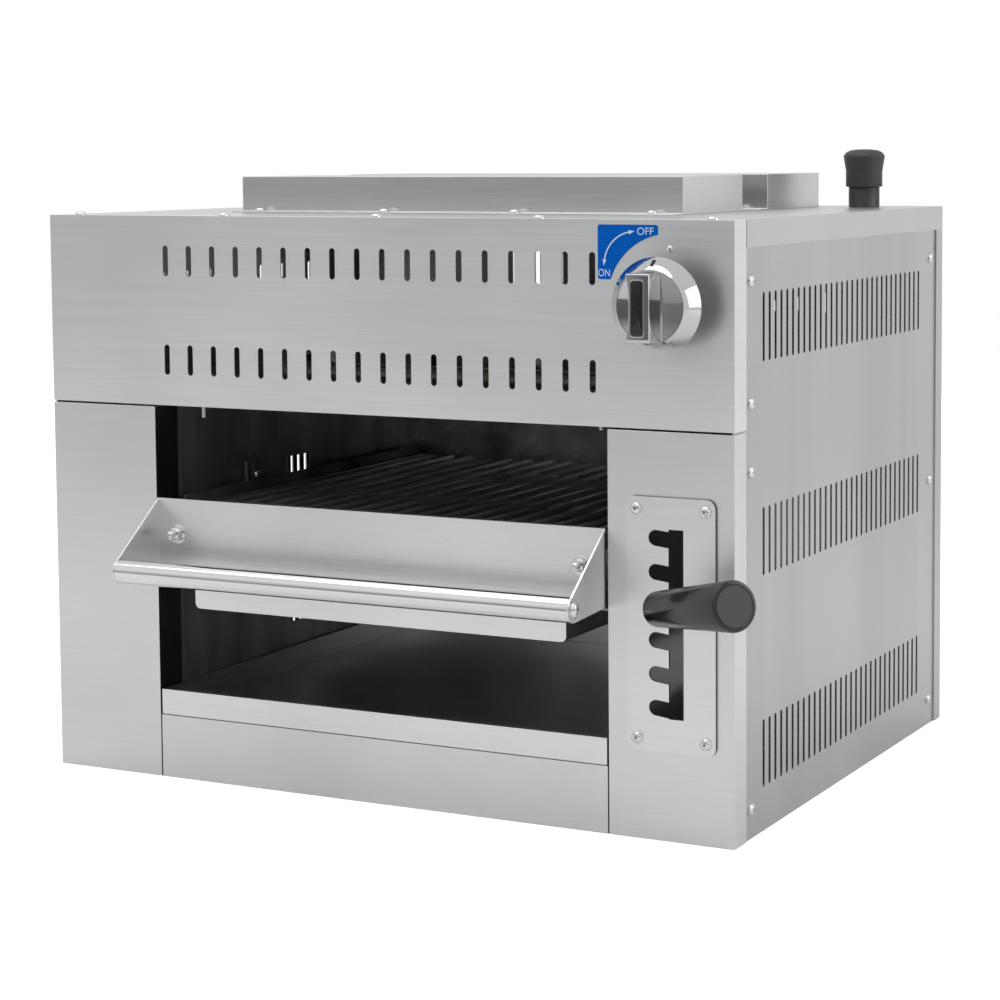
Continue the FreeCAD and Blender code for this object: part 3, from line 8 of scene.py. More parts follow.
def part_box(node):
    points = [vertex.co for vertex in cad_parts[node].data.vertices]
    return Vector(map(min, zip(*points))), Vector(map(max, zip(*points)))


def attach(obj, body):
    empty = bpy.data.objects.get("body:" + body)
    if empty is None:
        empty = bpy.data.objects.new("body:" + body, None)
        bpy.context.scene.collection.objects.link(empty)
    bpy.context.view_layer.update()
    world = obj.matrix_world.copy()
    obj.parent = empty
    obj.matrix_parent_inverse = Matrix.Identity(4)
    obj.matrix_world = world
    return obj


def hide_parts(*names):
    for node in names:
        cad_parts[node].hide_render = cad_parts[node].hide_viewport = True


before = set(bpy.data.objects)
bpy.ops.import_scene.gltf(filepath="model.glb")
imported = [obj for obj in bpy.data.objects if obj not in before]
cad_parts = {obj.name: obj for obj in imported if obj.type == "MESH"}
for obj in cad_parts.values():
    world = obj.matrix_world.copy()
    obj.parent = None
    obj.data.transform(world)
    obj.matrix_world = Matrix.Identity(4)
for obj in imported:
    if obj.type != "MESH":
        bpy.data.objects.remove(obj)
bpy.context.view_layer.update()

# Cabinet panels: stainless sheet, laser cut, punched and folded, with a fine horizontal brushing.
# The folded edges of the plain panels have a small radius that catches the light. Lengths are in metres.
EDGE_RADIUS = 0.0004
WELD_GAP = 0.00001
SOFT_ANGLE = math.radians(40)
NOISE_SPAN = {"From Min": 0.3, "From Max": 0.7}
GRAIN_WIDTH = 0.0006
GRAIN_LENGTH = 0.09
GRAIN_SHADES = (0.97, 1.03)
GRAIN_GLOSS = 0.03
GRAIN_STRENGTH = 0.06
GRAIN_RELIEF = 0.0001
# Broad soft clouds over the grain are a painted blotchy reflection.
REFLECTION_TURNS = (5, 5, 5)
PAINTED_REFLECTION_SHADES = {"To Min": 0.92, "To Max": 1.05}
# The folds beside the opening are painted dark: a painted shade.
FOLD_MARGIN = 0.0015
FOLD_BLEND = 0.002
FOLD_PAINTED_SHADE = "#5A5A5B"

# The places of a Mix node's sockets, for colours and for numbers.
MIX_FACTOR = 0
COLOUR_A = 6
COLOUR_B = 7
COLOUR_OUT = 2
NUMBER_A = 2
NUMBER_B = 3
NUMBER_OUT = 0
MULTIPLY = {"data_type": "RGBA", "blend_type": "MULTIPLY", MIX_FACTOR: 1.0}


def linear(code):
    """A hex colour as the linear numbers that a shader takes."""
    parts = [int(code[start:start + 2], 16) / 255 for start in (1, 3, 5)]
    return [part / 12.92 if part <= 0.04045 else ((part + 0.055) / 1.055) ** 2.4 for part in parts] + [1]


def add(tree, kind, settings=(), links=()):
    """A shader node with its settings and with what feeds it. A key names a socket or gives its place."""
    made = tree.nodes.new("ShaderNode" + kind)
    for key, value in dict(settings).items():
        if isinstance(key, str) and hasattr(made, key):
            setattr(made, key, value)
        else:
            made.inputs[key].default_value = value
    for key, source in dict(links).items():
        tree.links.new(source, made.inputs[key])
    return made


def finish(name, colour, metallic, scale, shades, roughness, detail=3.0):
    """A material whose colour and roughness follow one noise pattern.

    scale is the pattern's turns in a metre along each axis. shades multiply the colour. Both ranges run
    from the pattern's low end to its high end.
    """
    made = bpy.data.materials.new(name)
    made.use_nodes = True
    tree = made.node_tree
    surface = tree.nodes["Principled BSDF"]
    surface.inputs["Metallic"].default_value = metallic
    spot = add(tree, "TexCoord").outputs["Object"]
    stretched = add(tree, "Mapping", {"Scale": scale}, {"Vector": spot}).outputs["Vector"]
    noise = add(tree, "TexNoise", {"Scale": 1.0, "Detail": detail}, {"Vector": stretched}).outputs["Fac"]
    shade = add(tree, "MapRange", {**NOISE_SPAN, "To Min": shades[0], "To Max": shades[1]},
                {"Value": noise}).outputs["Result"]
    tint = add(tree, "Mix", {**MULTIPLY, COLOUR_A: linear(colour)}, {COLOUR_B: shade}).outputs[COLOUR_OUT]
    tree.links.new(tint, surface.inputs["Base Color"])
    gloss = add(tree, "MapRange", {**NOISE_SPAN, "To Min": roughness[0], "To Max": roughness[1]},
                {"Value": noise}).outputs["Result"]
    tree.links.new(gloss, surface.inputs["Roughness"])
    return made


def brushed(name, colour, roughness, across="Z", reflection_turns=REFLECTION_TURNS):
    """Brushed stainless steel, with broad soft clouds of painted reflection over its grain.

    The grain varies along one axis and runs along the other two. Real scratches are about 0.1 mm wide, so
    they are drawn coarser to show.
    """
    scale = [1 / GRAIN_LENGTH] * 3
    scale["XYZ".index(across)] = 1 / GRAIN_WIDTH
    made = finish(name, colour, 1.0, scale, GRAIN_SHADES, (roughness - GRAIN_GLOSS, roughness + GRAIN_GLOSS))
    tree = made.node_tree
    surface = tree.nodes["Principled BSDF"]
    # The clouds are a painted reflection, multiplied into the colour.
    spot = add(tree, "TexCoord").outputs["Object"]
    spread = add(tree, "Mapping", {"Scale": reflection_turns}, {"Vector": spot}).outputs["Vector"]
    reflection_haze = add(tree, "TexNoise", {"Scale": 1.0, "Detail": 2.0}, {"Vector": spread}).outputs["Fac"]
    shade = add(tree, "MapRange", {**NOISE_SPAN, **PAINTED_REFLECTION_SHADES}, {"Value": reflection_haze}).outputs["Result"]
    grained = surface.inputs["Base Color"].links[0].from_socket
    reflection_clouded = add(tree, "Mix", MULTIPLY, {COLOUR_A: grained, COLOUR_B: shade}).outputs[COLOUR_OUT]
    tree.links.new(reflection_clouded, surface.inputs["Base Color"])
    grain = tree.nodes["Noise Texture"].outputs["Fac"]
    bump = add(tree, "Bump", {"Strength": GRAIN_STRENGTH, "Distance": GRAIN_RELIEF}, {"Height": grain})
    tree.links.new(bump.outputs["Normal"], surface.inputs["Normal"])
    return made


def dress(steel, *names):
    """Give the frame's own nodes a finish."""
    for name in names:
        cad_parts[name].data.materials.clear()
        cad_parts[name].data.materials.append(steel)


def ease(*names):
    """Round the folded edges of the frame's own nodes."""
    for name in names:
        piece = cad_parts[name]
        piece.modifiers.new("weld", "WELD").merge_threshold = WELD_GAP
        edge = piece.modifiers.new("edge", "BEVEL")
        edge.width = EDGE_RADIUS
        edge.segments = 2
        edge.limit_method = "ANGLE"
        edge.angle_limit = SOFT_ANGLE
        edge.harden_normals = True


fascia_steel = brushed("stainless fascia, brushed", "#E2E3E4", 0.34)
column_steel = brushed("stainless columns, brushed", "#D6D6D6", 0.36)

# The columns' and the sill's folds beside the opening face into the cavity and are painted darker than their
# faces: a painted shade.
tree = column_steel.node_tree
surface = tree.nodes["Principled BSDF"]
spot = add(tree, "TexCoord")
place = add(tree, "SeparateXYZ", {}, {"Vector": spot.outputs["Object"]}).outputs["X"]
turn = add(tree, "SeparateXYZ", {}, {"Vector": spot.outputs["Normal"]}).outputs["X"]
reach = add(tree, "Math", {"operation": "ABSOLUTE"}, {0: place}).outputs["Value"]
sideways = add(tree, "Math", {"operation": "ABSOLUTE"}, {0: turn}).outputs["Value"]
fold_reach = FOLD_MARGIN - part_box("left_liner")[1].x
inner = add(tree, "MapRange", {"From Min": fold_reach + FOLD_BLEND, "From Max": fold_reach},
            {"Value": reach}).outputs["Result"]
# Painted shade on the folds that face into the cavity.
fold_shade_mask = add(tree, "Math", {"operation": "MULTIPLY"}, {0: inner, 1: sideways}).outputs["Value"]
reflection_clouded = surface.inputs["Base Color"].links[0].from_socket
fold_shaded = add(tree, "Mix", {"data_type": "RGBA", COLOUR_B: linear(FOLD_PAINTED_SHADE)},
             {MIX_FACTOR: fold_shade_mask, COLOUR_A: reflection_clouded}).outputs[COLOUR_OUT]
tree.links.new(fold_shaded, surface.inputs["Base Color"])

# On the sides the clouds are stretched upright into soft vertical bands: a painted reflection.
side_steel = brushed("stainless sides, brushed", "#B8B9BA", 0.32, reflection_turns=(5, 16, 1.5))
flat_steel = brushed("stainless top, brushed", "#C8C9C9", 0.34, across="Y")
dress(fascia_steel, "upper_front_panel")
dress(column_steel, "left_front_column", "right_front_column", "lower_front_panel")
dress(side_steel, "left_side_panel", "right_side_panel", "rear_panel")
dress(flat_steel, "top_panel", "base_panel")
ease("left_front_column", "right_front_column", "lower_front_panel", "base_panel")

# Cavity liners, deck and tray runners: stainless sheet, painted darker inside the cavity: a painted shade.
# The side liners' outer faces, behind the gate and the side slots, get the unshaded steel and are shiny.
UNSHADED_STEEL = "#C9CACB"
OUTER_ROUGHNESS = 0.14
OUTER_START = 0.0005
OUTER_END = 0.0007

liner_steel = finish("liner sheet, painted shade inside", "#A6A6A7", 0.85, (30, 30, 6), (0.55, 1.2), (0.40, 0.26),
                     4.0)
back_liner_steel = finish("rear liner sheet, painted shade inside", "#C2C2C3", 0.92, (16, 30, 22), (0.3, 1.3),
                          (0.40, 0.2))
tree = liner_steel.node_tree
surface = tree.nodes["Principled BSDF"]
inner_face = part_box("right_liner")[0].x
across = add(tree, "SeparateXYZ", {}, {"Vector": add(tree, "TexCoord").outputs["Object"]}).outputs["X"]
reach = add(tree, "Math", {"operation": "ABSOLUTE"}, {0: across}).outputs["Value"]
# Outside the cavity the painted shade gives way to the unshaded steel.
outer = add(tree, "MapRange", {"From Min": inner_face + OUTER_START, "From Max": inner_face + OUTER_END},
            {"Value": reach}).outputs["Result"]
shaded_inside = surface.inputs["Base Color"].links[0].from_socket
colour = add(tree, "Mix", {"data_type": "RGBA", COLOUR_B: linear(UNSHADED_STEEL)},
             {MIX_FACTOR: outer, COLOUR_A: shaded_inside}).outputs[COLOUR_OUT]
tree.links.new(colour, surface.inputs["Base Color"])
uneven = surface.inputs["Roughness"].links[0].from_socket
gloss = add(tree, "Mix", {"data_type": "FLOAT", NUMBER_B: OUTER_ROUGHNESS},
            {MIX_FACTOR: outer, NUMBER_A: uneven}).outputs[NUMBER_OUT]
tree.links.new(gloss, surface.inputs["Roughness"])
dress(liner_steel, "left_liner", "right_liner", "burner_deck", "tray_runners")
dress(back_liner_steel, "back_liner")

# Burners and the parts behind the panels: pressed housings over porous ceramic tiles, with a woven
# heat-tinted mesh below. Gas fittings are brass, and pipes, pins and guides are zinc plated steel.
zinc = finish("zinc plated steel", "#A9A8A1", 1.0, (120, 120, 120), (0.88, 1.06), (0.42, 0.34))
ceramic = finish("burner ceramic, porous", "#D9D2C2", 0.0, (700, 700, 700), (0.7, 1.0), (0.9, 0.8))
glazed = finish("electrode ceramic, glazed", "#E4DFD3", 0.0, (60, 60, 60), (0.85, 1.0), (0.3, 0.2))
heat_mesh = finish("radiant mesh, heat tinted", "#A59C90", 0.2, (80, 80, 80), (0.6, 1.25), (0.5, 0.4))
brass = finish("brass, cast and machined", "#B8964E", 1.0, (70, 70, 70), (0.75, 1.05), (0.36, 0.26), 4.0)
dress(zinc, "burner_housings", "gas_manifold", "supply_pipe", "guide_rods", "guide_collars", "lever_bracket",
      "lever_pivot_pin", "pivot_circlip", "pivot_sleeve", "lever_bar", "lift_brackets", "drive_pin",
      "valve_spindle")
dress(ceramic, "ceramic_tiles")
dress(glazed, "ignition_electrode", "thermocouple")
dress(heat_mesh, "radiant_mesh")
dress(brass, "gas_valve_body", "valve_plug", "gas_injectors", "inlet_elbow")

# Flue boxes on the top: folded from thin stainless sheet, with a screwed front flange.
# They stand on the top panel over the flue holes and vent to the rear.
flue_steel = brushed("stainless flue boxes, brushed", "#D2D3D4", 0.3)
dress(flue_steel, "flue_boxes")
ease("flue_boxes")

# Screws: pan heads with a cross recess, cold formed and polished.
# Each group is one piece, with a head wherever the frame has one. Sizes are shares of a head's diameter.
SCREW_STEPS = 32
POLE_GAP = 1e-7
PAN = [(0.5, 0.0), (0.5, 0.06), (0.47, 0.15), (0.4, 0.22), (0.28, 0.275), (0.14, 0.298), (0.0, 0.305)]
CROSS_LENGTH = 0.48
CROSS_WIDTH = 0.1
CROSS_DEPTH = 0.16
CROSS_TAPER = (0.35, 0.6)
CROSS_LEVEL = 0.31
CROSS_TURN = math.radians(23)
CROSS_STEP = math.radians(31)


def turned(profile, steps):
    """A shape turned about Z from its outline of radius and height."""
    shape = bmesh.new()
    verts = [shape.verts.new((radius, 0, height)) for radius, height in profile]
    edges = [shape.edges.new(pair) for pair in zip(verts, verts[1:])]
    bmesh.ops.spin(shape, geom=verts + edges, axis=(0, 0, 1), cent=(0, 0, 0), angle=math.tau, steps=steps,
                   use_merge=True)
    bmesh.ops.remove_doubles(shape, verts=shape.verts, dist=POLE_GAP)
    return shape


def facing(origin, direction, turn=0.0, scale=1.0):
    """The matrix that takes the Z axis to a direction from a point."""
    aim = Vector(direction).to_track_quat("Z", "Y").to_matrix().to_4x4()
    return Matrix.Translation(origin) @ aim @ Matrix.Rotation(turn, 4, "Z") @ Matrix.Scale(scale, 4)


def as_object(name, shape):
    """A bmesh as an object with smooth faces and sharp corners."""
    bmesh.ops.recalc_face_normals(shape, faces=shape.faces)
    mesh = bpy.data.meshes.new(name)
    shape.to_mesh(mesh)
    shape.free()
    mesh.shade_smooth()
    mesh.set_sharp_from_angle(angle=SOFT_ANGLE)
    made = bpy.data.objects.new(name, mesh)
    bpy.context.scene.collection.objects.link(made)
    return made


def fit(name, shape, body, slot, steel, *stands_for):
    """Finish a piece: its mesh, material and body, and the nodes that it stands for. slot is not used."""
    made = as_object(name, shape)
    made.data.materials.append(steel)
    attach(made, body)
    if stands_for:
        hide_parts(*stands_for)
    return made


def merged(node):
    """A node's mesh as one closed bmesh."""
    shape = bmesh.new()
    shape.from_mesh(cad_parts[node].data)
    bmesh.ops.remove_doubles(shape, verts=shape.verts, dist=WELD_GAP)
    return shape


def islands(node):
    """The lowest and highest corners of each separate solid of a node."""
    shape = merged(node)
    left = set(shape.verts)
    found = []
    while left:
        waiting = [left.pop()]
        patch = []
        while waiting:
            vert = waiting.pop()
            patch.append(vert.co.copy())
            for edge in vert.link_edges:
                other = edge.other_vert(vert)
                if other in left:
                    left.remove(other)
                    waiting.append(other)
        found.append([Vector(pick(axis) for axis in zip(*patch)) for pick in (min, max)])
    shape.free()
    return sorted(found, key=lambda pair: tuple(pair[0]))


head = as_object("pan_head", turned(PAN, SCREW_STEPS))
cross = bmesh.new()
for quarter in (0, 1):
    arm = bmesh.ops.create_cube(cross, size=1)["verts"]
    bmesh.ops.scale(cross, vec=(CROSS_LENGTH, CROSS_WIDTH, 2 * CROSS_DEPTH), verts=arm)
    for vert in arm:
        if vert.co.z < 0:
            vert.co.x *= CROSS_TAPER[0]
            vert.co.y *= CROSS_TAPER[1]
    bmesh.ops.rotate(cross, cent=(0, 0, 0), matrix=Matrix.Rotation(quarter * math.pi / 2, 3, "Z"), verts=arm)
    bmesh.ops.translate(cross, vec=(0, 0, CROSS_LEVEL), verts=arm)
bit = as_object("cross_bit", cross)
recess = head.modifiers.new("recess", "BOOLEAN")
recess.operation = "DIFFERENCE"
recess.use_self = True
recess.object = bit
bpy.context.view_layer.update()
pan_head = bpy.data.meshes.new_from_object(head.evaluated_get(bpy.context.evaluated_depsgraph_get()))
bpy.data.objects.remove(head)
bpy.data.objects.remove(bit)

polished = finish("screw steel, polished", "#D8D8D8", 1.0, (300, 300, 300), (0.94, 1.02), (0.12, 0.22), 2.0)


def screws(node, body, outward):
    """A pan head on each of a node's solids. outward gives the way that a head faces."""
    group = bmesh.new()
    for number, (low, high) in enumerate(islands(node)):
        middle = (low + high) / 2
        out = Vector(outward(middle))
        seat = middle - out * abs((high - low).dot(out)) / 2
        size = max(high - low)
        before = len(group.verts)
        group.from_mesh(pan_head)
        group.verts.ensure_lookup_table()
        bmesh.ops.transform(group, matrix=facing(seat, out, CROSS_TURN + number * CROSS_STEP, size),
                            verts=group.verts[before:])
    return fit(node + "_heads", group, body, "polished_stainless", polished, node)


top_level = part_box("top_panel")[1].z
screws("cabinet_screws", "root",
       lambda middle: (0, 0, 1) if middle.z > top_level else (math.copysign(1, middle.x), 0, 0))

# Gas inlet: blackened steel pipe with a moulded rubber cap pulled over its thread.
# The cap has a domed top over a flared rim and a straight skirt.
PIPE_STEPS = 48
PIPE_BORE = 0.76
THREAD_TURNS = 8
THREAD_PITCH = 0.0018
THREAD_DEPTH = 0.0005
THREAD_END = 0.001
CAP_CLEARANCE = 0.00006
CAP_TOP = 0.010
CAP_FOOT_ROUND = 0.0006

# Shares of the cap's radius and height: its foot, its straight skirt, and the rim and dome above.
CAP_FOOT = 0.875
CAP_SKIRT = (0.886, 0.42)
CAP_DOME = ((0.91, 0.5), (0.99, 0.76), (1.0, 0.8), (0.985, 0.84), (0.93, 0.88), (0.86, 0.92), (0.68, 0.97),
            (0.35, 0.995), (0.0, 1.0))

black_pipe = finish("steel pipe, blackened", "#3C3D3F", 0.6, (90, 90, 90), (0.75, 1.15), (0.5, 0.4), 4.0)
black_rubber = finish("rubber, moulded", "#2E2F31", 0.0, (45, 45, 45), (0.85, 1.15), (0.45, 0.62), 5.0)

low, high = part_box("gas_inlet_pipe")
pipe_radius = (high.x - low.x) / 2
pipe_axis = Vector(((low.x + high.x) / 2, (low.y + high.y) / 2, low.z))
pipe_length = high.z - low.z
pipe_bore = pipe_radius * PIPE_BORE
outline = [(pipe_bore, 0.0), (pipe_radius, 0.0)]
thread_start = pipe_length - THREAD_TURNS * THREAD_PITCH - THREAD_END
for number in range(THREAD_TURNS):
    step = thread_start + number * THREAD_PITCH
    outline += [(pipe_radius, step), (pipe_radius - THREAD_DEPTH, step + THREAD_PITCH / 2)]
outline += [(pipe_radius - THREAD_DEPTH, pipe_length), (pipe_bore, pipe_length), (pipe_bore, 0.0)]
pipe = turned(outline, PIPE_STEPS)
bmesh.ops.translate(pipe, vec=pipe_axis, verts=pipe.verts)
fit("gas_inlet_thread", pipe, "root", "black_pipe", black_pipe, "gas_inlet_pipe")

low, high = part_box("inlet_cap")
cap_radius = (high.x - low.x) / 2
cap_height = high.z - low.z
cap_bore = pipe_radius + CAP_CLEARANCE
crown = cap_height - CAP_TOP
skirt = cap_radius * CAP_SKIRT[0]
cap_outline = [(0.0, crown), (cap_bore, crown), (cap_bore, 0.0), (cap_radius * CAP_FOOT, 0.0),
               (skirt, CAP_FOOT_ROUND), (skirt, cap_height * CAP_SKIRT[1])]
cap_outline += [(cap_radius * wide, cap_height * tall) for wide, tall in CAP_DOME]
cap = turned(cap_outline, PIPE_STEPS)
bmesh.ops.translate(cap, vec=((low.x + high.x) / 2, (low.y + high.y) / 2, low.z), verts=cap.verts)
fit("inlet_cap_moulding", cap, "inlet_cap", "black_rubber", black_rubber, "inlet_cap")

# Gate plate: 2 mm stainless, laser cut with a channel and six round-ended notches, held by four screws.
# Its edge faces are painted dark, a painted shade along the plate's thickness, and its face is brushed.
EDGE_PAINTED_SHADE = 0.1
EDGE_SHADE_TURN = {"From Min": 0.3, "From Max": 0.6}

gate_steel = brushed("stainless gate plate, brushed", "#DADADA", 0.36)
tree = gate_steel.node_tree
surface = tree.nodes["Principled BSDF"]
# The edge faces, which turn away from the front, are painted dark: a painted shade.
forward = add(tree, "SeparateXYZ", {}, {"Vector": add(tree, "TexCoord").outputs["Normal"]}).outputs["Y"]
flat = add(tree, "Math", {"operation": "ABSOLUTE"}, {0: forward}).outputs["Value"]
shade = add(tree, "MapRange", {**EDGE_SHADE_TURN, "To Min": EDGE_PAINTED_SHADE}, {"Value": flat}).outputs["Result"]
reflection_clouded = surface.inputs["Base Color"].links[0].from_socket
edge_shaded = add(tree, "Mix", MULTIPLY, {COLOUR_A: reflection_clouded, COLOUR_B: shade}).outputs[COLOUR_OUT]
tree.links.new(edge_shaded, surface.inputs["Base Color"])
dress(gate_steel, "gate_plate")
screws("gate_screws", "root", lambda middle: (0, -1, 0))

# Control label: printed plastic film, with a double arrow between its two words.
# The print stands a hair proud of the film. The index dot is a small polished peg.
PRINT_LIFT = 0.00008
PRINT_DEPTH = 0.00005
ARROW_PLACE = (0.0290, 0.0106)
ARROW_RADIUS = 0.0238
ARROW_WIDTH = 0.0010
ARROW_HEAD = 0.0047
ARROW_HEAD_WIDTH = 0.0030
ARROW_START = math.radians(100)
ARROW_END = math.radians(171)
ARROW_STEPS = 20
LETTER_HEIGHT = 0.0053
LETTER_DEPTH = 0.01
LETTER_WELD = 0.0001
OFF_INSET = (0.0316, 0.0019)
OFF_WIDTH = 0.0129
ON_INSET = (0.0006, 0.0021)
ON_WIDTH = 0.0092
PEG_PROFILE = ((1.0, 0.0), (0.97, 0.4), (0.75, 0.78), (0.4, 0.95), (0.0, 1.0))

label_film = finish("label film, printed blue", "#0057B4", 0.0, (220, 220, 220), (0.96, 1.03), (0.5, 0.6))
label_film.node_tree.nodes["Principled BSDF"].inputs["Specular IOR Level"].default_value = 0.05
label_ink = finish("label ink, pale", "#C3D3E8", 0.0, (400, 400, 400), (0.95, 1.0), (0.45, 0.55))
dress(label_film, "control_label")

label_low, label_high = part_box("control_label")
print_plane = label_low.y - PRINT_LIFT
arrow = bmesh.new()
spoke = Vector((math.cos(ARROW_START), 0, math.sin(ARROW_START)))
ends = [arrow.verts.new(spoke * (ARROW_RADIUS + side * ARROW_WIDTH / 2)) for side in (-1, 1)]
line = arrow.edges.new(ends)
bmesh.ops.spin(arrow, geom=ends + [line], axis=(0, -1, 0), cent=(0, 0, 0), angle=ARROW_END - ARROW_START,
               steps=ARROW_STEPS)
for angle, way in ((ARROW_START, -1), (ARROW_END, 1)):
    out = Vector((math.cos(angle), 0, math.sin(angle)))
    ahead = Vector((-math.sin(angle), 0, math.cos(angle))) * way
    base = out * ARROW_RADIUS
    aside = out * ARROW_HEAD_WIDTH / 2
    corners = [base + aside, base - aside, base + ahead * ARROW_HEAD]
    arrow.faces.new([arrow.verts.new(corner) for corner in corners])
for face in arrow.faces:
    face.normal_update()
    if face.normal.y > 0:
        face.normal_flip()
bmesh.ops.solidify(arrow, geom=arrow.faces[:], thickness=PRINT_DEPTH)
bmesh.ops.translate(arrow, vec=(label_low.x + ARROW_PLACE[0], print_plane, label_low.z + ARROW_PLACE[1]),
                    verts=arrow.verts)
fit("label_arrow", arrow, "root", "label_film", label_ink)


def lettered(name, word, corner, width):
    """A word of the label's print, from its lower left corner, at its width."""
    text = bpy.data.curves.new(name, "FONT")
    text.body = word
    text.size = 1.0
    text.extrude = LETTER_DEPTH
    holder = bpy.data.objects.new(name, text)
    bpy.context.scene.collection.objects.link(holder)
    bpy.context.view_layer.update()
    mesh = bpy.data.meshes.new_from_object(holder.evaluated_get(bpy.context.evaluated_depsgraph_get()))
    bpy.data.objects.remove(holder)
    shape = bmesh.new()
    shape.from_mesh(mesh)
    bmesh.ops.remove_doubles(shape, verts=shape.verts, dist=LETTER_WELD)
    least = Vector(min(axis) for axis in zip(*[vert.co for vert in shape.verts]))
    most = Vector(max(axis) for axis in zip(*[vert.co for vert in shape.verts]))
    bmesh.ops.translate(shape, vec=-least, verts=shape.verts)
    reach = most - least
    bmesh.ops.scale(shape, vec=(width / reach.x, LETTER_HEIGHT / reach.y, PRINT_DEPTH / reach.z),
                    verts=shape.verts)
    bmesh.ops.rotate(shape, cent=(0, 0, 0), matrix=Matrix.Rotation(math.pi / 2, 3, "X"), verts=shape.verts)
    bmesh.ops.translate(shape, vec=corner, verts=shape.verts)
    return fit(name, shape, "root", "label_film", label_ink)


off_corner = (label_low.x + OFF_INSET[0], print_plane, label_high.z - OFF_INSET[1] - LETTER_HEIGHT)
on_corner = (label_low.x + ON_INSET[0], print_plane, label_low.z + ON_INSET[1])
lettered("label_off", "OFF", off_corner, OFF_WIDTH)
lettered("label_on", "ON", on_corner, ON_WIDTH)

low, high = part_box("index_dot")
peg_radius = (high.x - low.x) / 2
peg_rise = high.y - low.y
peg = turned([(peg_radius * wide, peg_rise * tall) for wide, tall in PEG_PROFILE], SCREW_STEPS)
bmesh.ops.transform(peg, matrix=facing(((low.x + high.x) / 2, high.y, (low.z + high.z) / 2), (0, -1, 0)),
                    verts=peg.verts)
fit("index_peg", peg, "root", "polished_stainless", polished, "index_dot")

# Knob: die-cast and chrome plated, with a bevelled skirt, a flat face and a grip bar hollowed on its left.
# A black moulded insert fills a lipped pocket on the bar, and a black line marks the skirt.
KNOB_STEPS = 96
SKIRT_DEPTH = 0.0125
FACE_RADIUS = 0.026
BAR_WIDTH = 0.018
BAR_HEIGHT = 0.048
BAR_HOLLOW = 0.0026
BAR_CUTS = 15
HUB_RADIUS = 0.012
HUB_LENGTH = 0.014
SKIRT_RIM = 0.002
SKIRT_EDGE = 0.0006
SKIRT_HOLLOW = 0.004
FACE_DISH = 0.0006
BAR_SINK = 0.001
BAR_EDGE = 0.0006
FOOT_RIM = 0.0007
FOOT_EDGE = 0.00049
LIP_RISE = 0.0004
LIP_WIDTH = 0.0007
LIP_CORNER = 0.0026
LIP_EDGE = 0.0002
INSERT_WIDTH = 0.0095
INSERT_HEIGHT = 0.039
INSERT_DEPTH = 0.002
INSERT_EDGE = 0.0005
POCKET_SLOPE = 0.0001
MARK_RADIUS = 0.0305
MARK_WIDTH = 0.0022
MARK_LENGTH = 0.006
MARK_DEPTH = 0.0008
CORNER_STEPS = 6
UPRIGHT = 0.9
FACING_OUT = 0.99

chrome = finish("chrome plate, mirror", "#C4C5C6", 1.0, (90, 90, 90), (0.97, 1.01), (0.03, 0.08))
bakelite = finish("bakelite, moulded black", "#1B1B1C", 0.0, (110, 110, 110), (0.8, 1.2), (0.14, 0.24), 4.0)
black_paint = finish("paint, black", "#101010", 0.0, (300, 300, 300), (0.8, 1.2), (0.7, 0.8))
matt_bakelite = finish("bakelite, moulded matt", "#3A3A3B", 0.0, (300, 300, 300), (0.9, 1.1), (0.5, 0.6))


def round_off(shape, edges, width, segments):
    """Round some of a shape's edges."""
    bmesh.ops.bevel(shape, geom=edges, offset=width, offset_type="OFFSET", segments=segments, profile=0.5,
                    affect="EDGES", material=-1)


def bevel_sharp(shape, width, segments, angle=SOFT_ANGLE):
    """Round every edge that turns by more than an angle."""
    edges = [edge for edge in shape.edges if len(edge.link_faces) == 2 and edge.calc_face_angle() > angle]
    round_off(shape, edges, width, segments)


def run(edge):
    """The way from an edge's second end to its first."""
    return edge.verts[0].co - edge.verts[1].co


def slab(width, height, back, front, corner=0.0):
    """A block across Z between two planes, with its upright corners rounded."""
    shape = bmesh.new()
    bmesh.ops.create_cube(shape, size=1)
    bmesh.ops.scale(shape, vec=(width, height, front - back), verts=shape.verts)
    bmesh.ops.translate(shape, vec=(0, 0, (back + front) / 2), verts=shape.verts)
    if corner:
        upright = [edge for edge in shape.edges if abs(run(edge).normalized().z) > UPRIGHT]
        round_off(shape, upright, corner, CORNER_STEPS)
    return shape


def take_in(shape, piece):
    """Add a finished piece to a shape."""
    holder = bpy.data.meshes.new("holder")
    piece.to_mesh(holder)
    piece.free()
    shape.from_mesh(holder)
    bpy.data.meshes.remove(holder)


low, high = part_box("knob")
skirt_radius = (high.x - low.x) / 2
bar_front = high.y - low.y
skirt_front = HUB_LENGTH + SKIRT_DEPTH
face_level = skirt_front - FACE_DISH
knob = turned([(0.0, 0.0), (HUB_RADIUS, 0.0), (HUB_RADIUS, HUB_LENGTH + SKIRT_HOLLOW),
               (skirt_radius - SKIRT_RIM, HUB_LENGTH + SKIRT_HOLLOW), (skirt_radius - SKIRT_RIM, HUB_LENGTH),
               (skirt_radius - SKIRT_EDGE, HUB_LENGTH), (skirt_radius, HUB_LENGTH + SKIRT_EDGE),
               (skirt_radius, HUB_LENGTH + SKIRT_RIM), (FACE_RADIUS, skirt_front),
               (FACE_RADIUS - SKIRT_EDGE, skirt_front), (FACE_RADIUS - SKIRT_RIM, face_level),
               (0.0, face_level)], KNOB_STEPS)
bar = slab(BAR_WIDTH, BAR_HEIGHT, face_level - BAR_SINK, bar_front - LIP_RISE)
long_edges = [edge for edge in bar.edges if abs(run(edge).y) > BAR_HEIGHT / 2]
bmesh.ops.subdivide_edges(bar, edges=long_edges, cuts=BAR_CUTS, use_grid_fill=True)
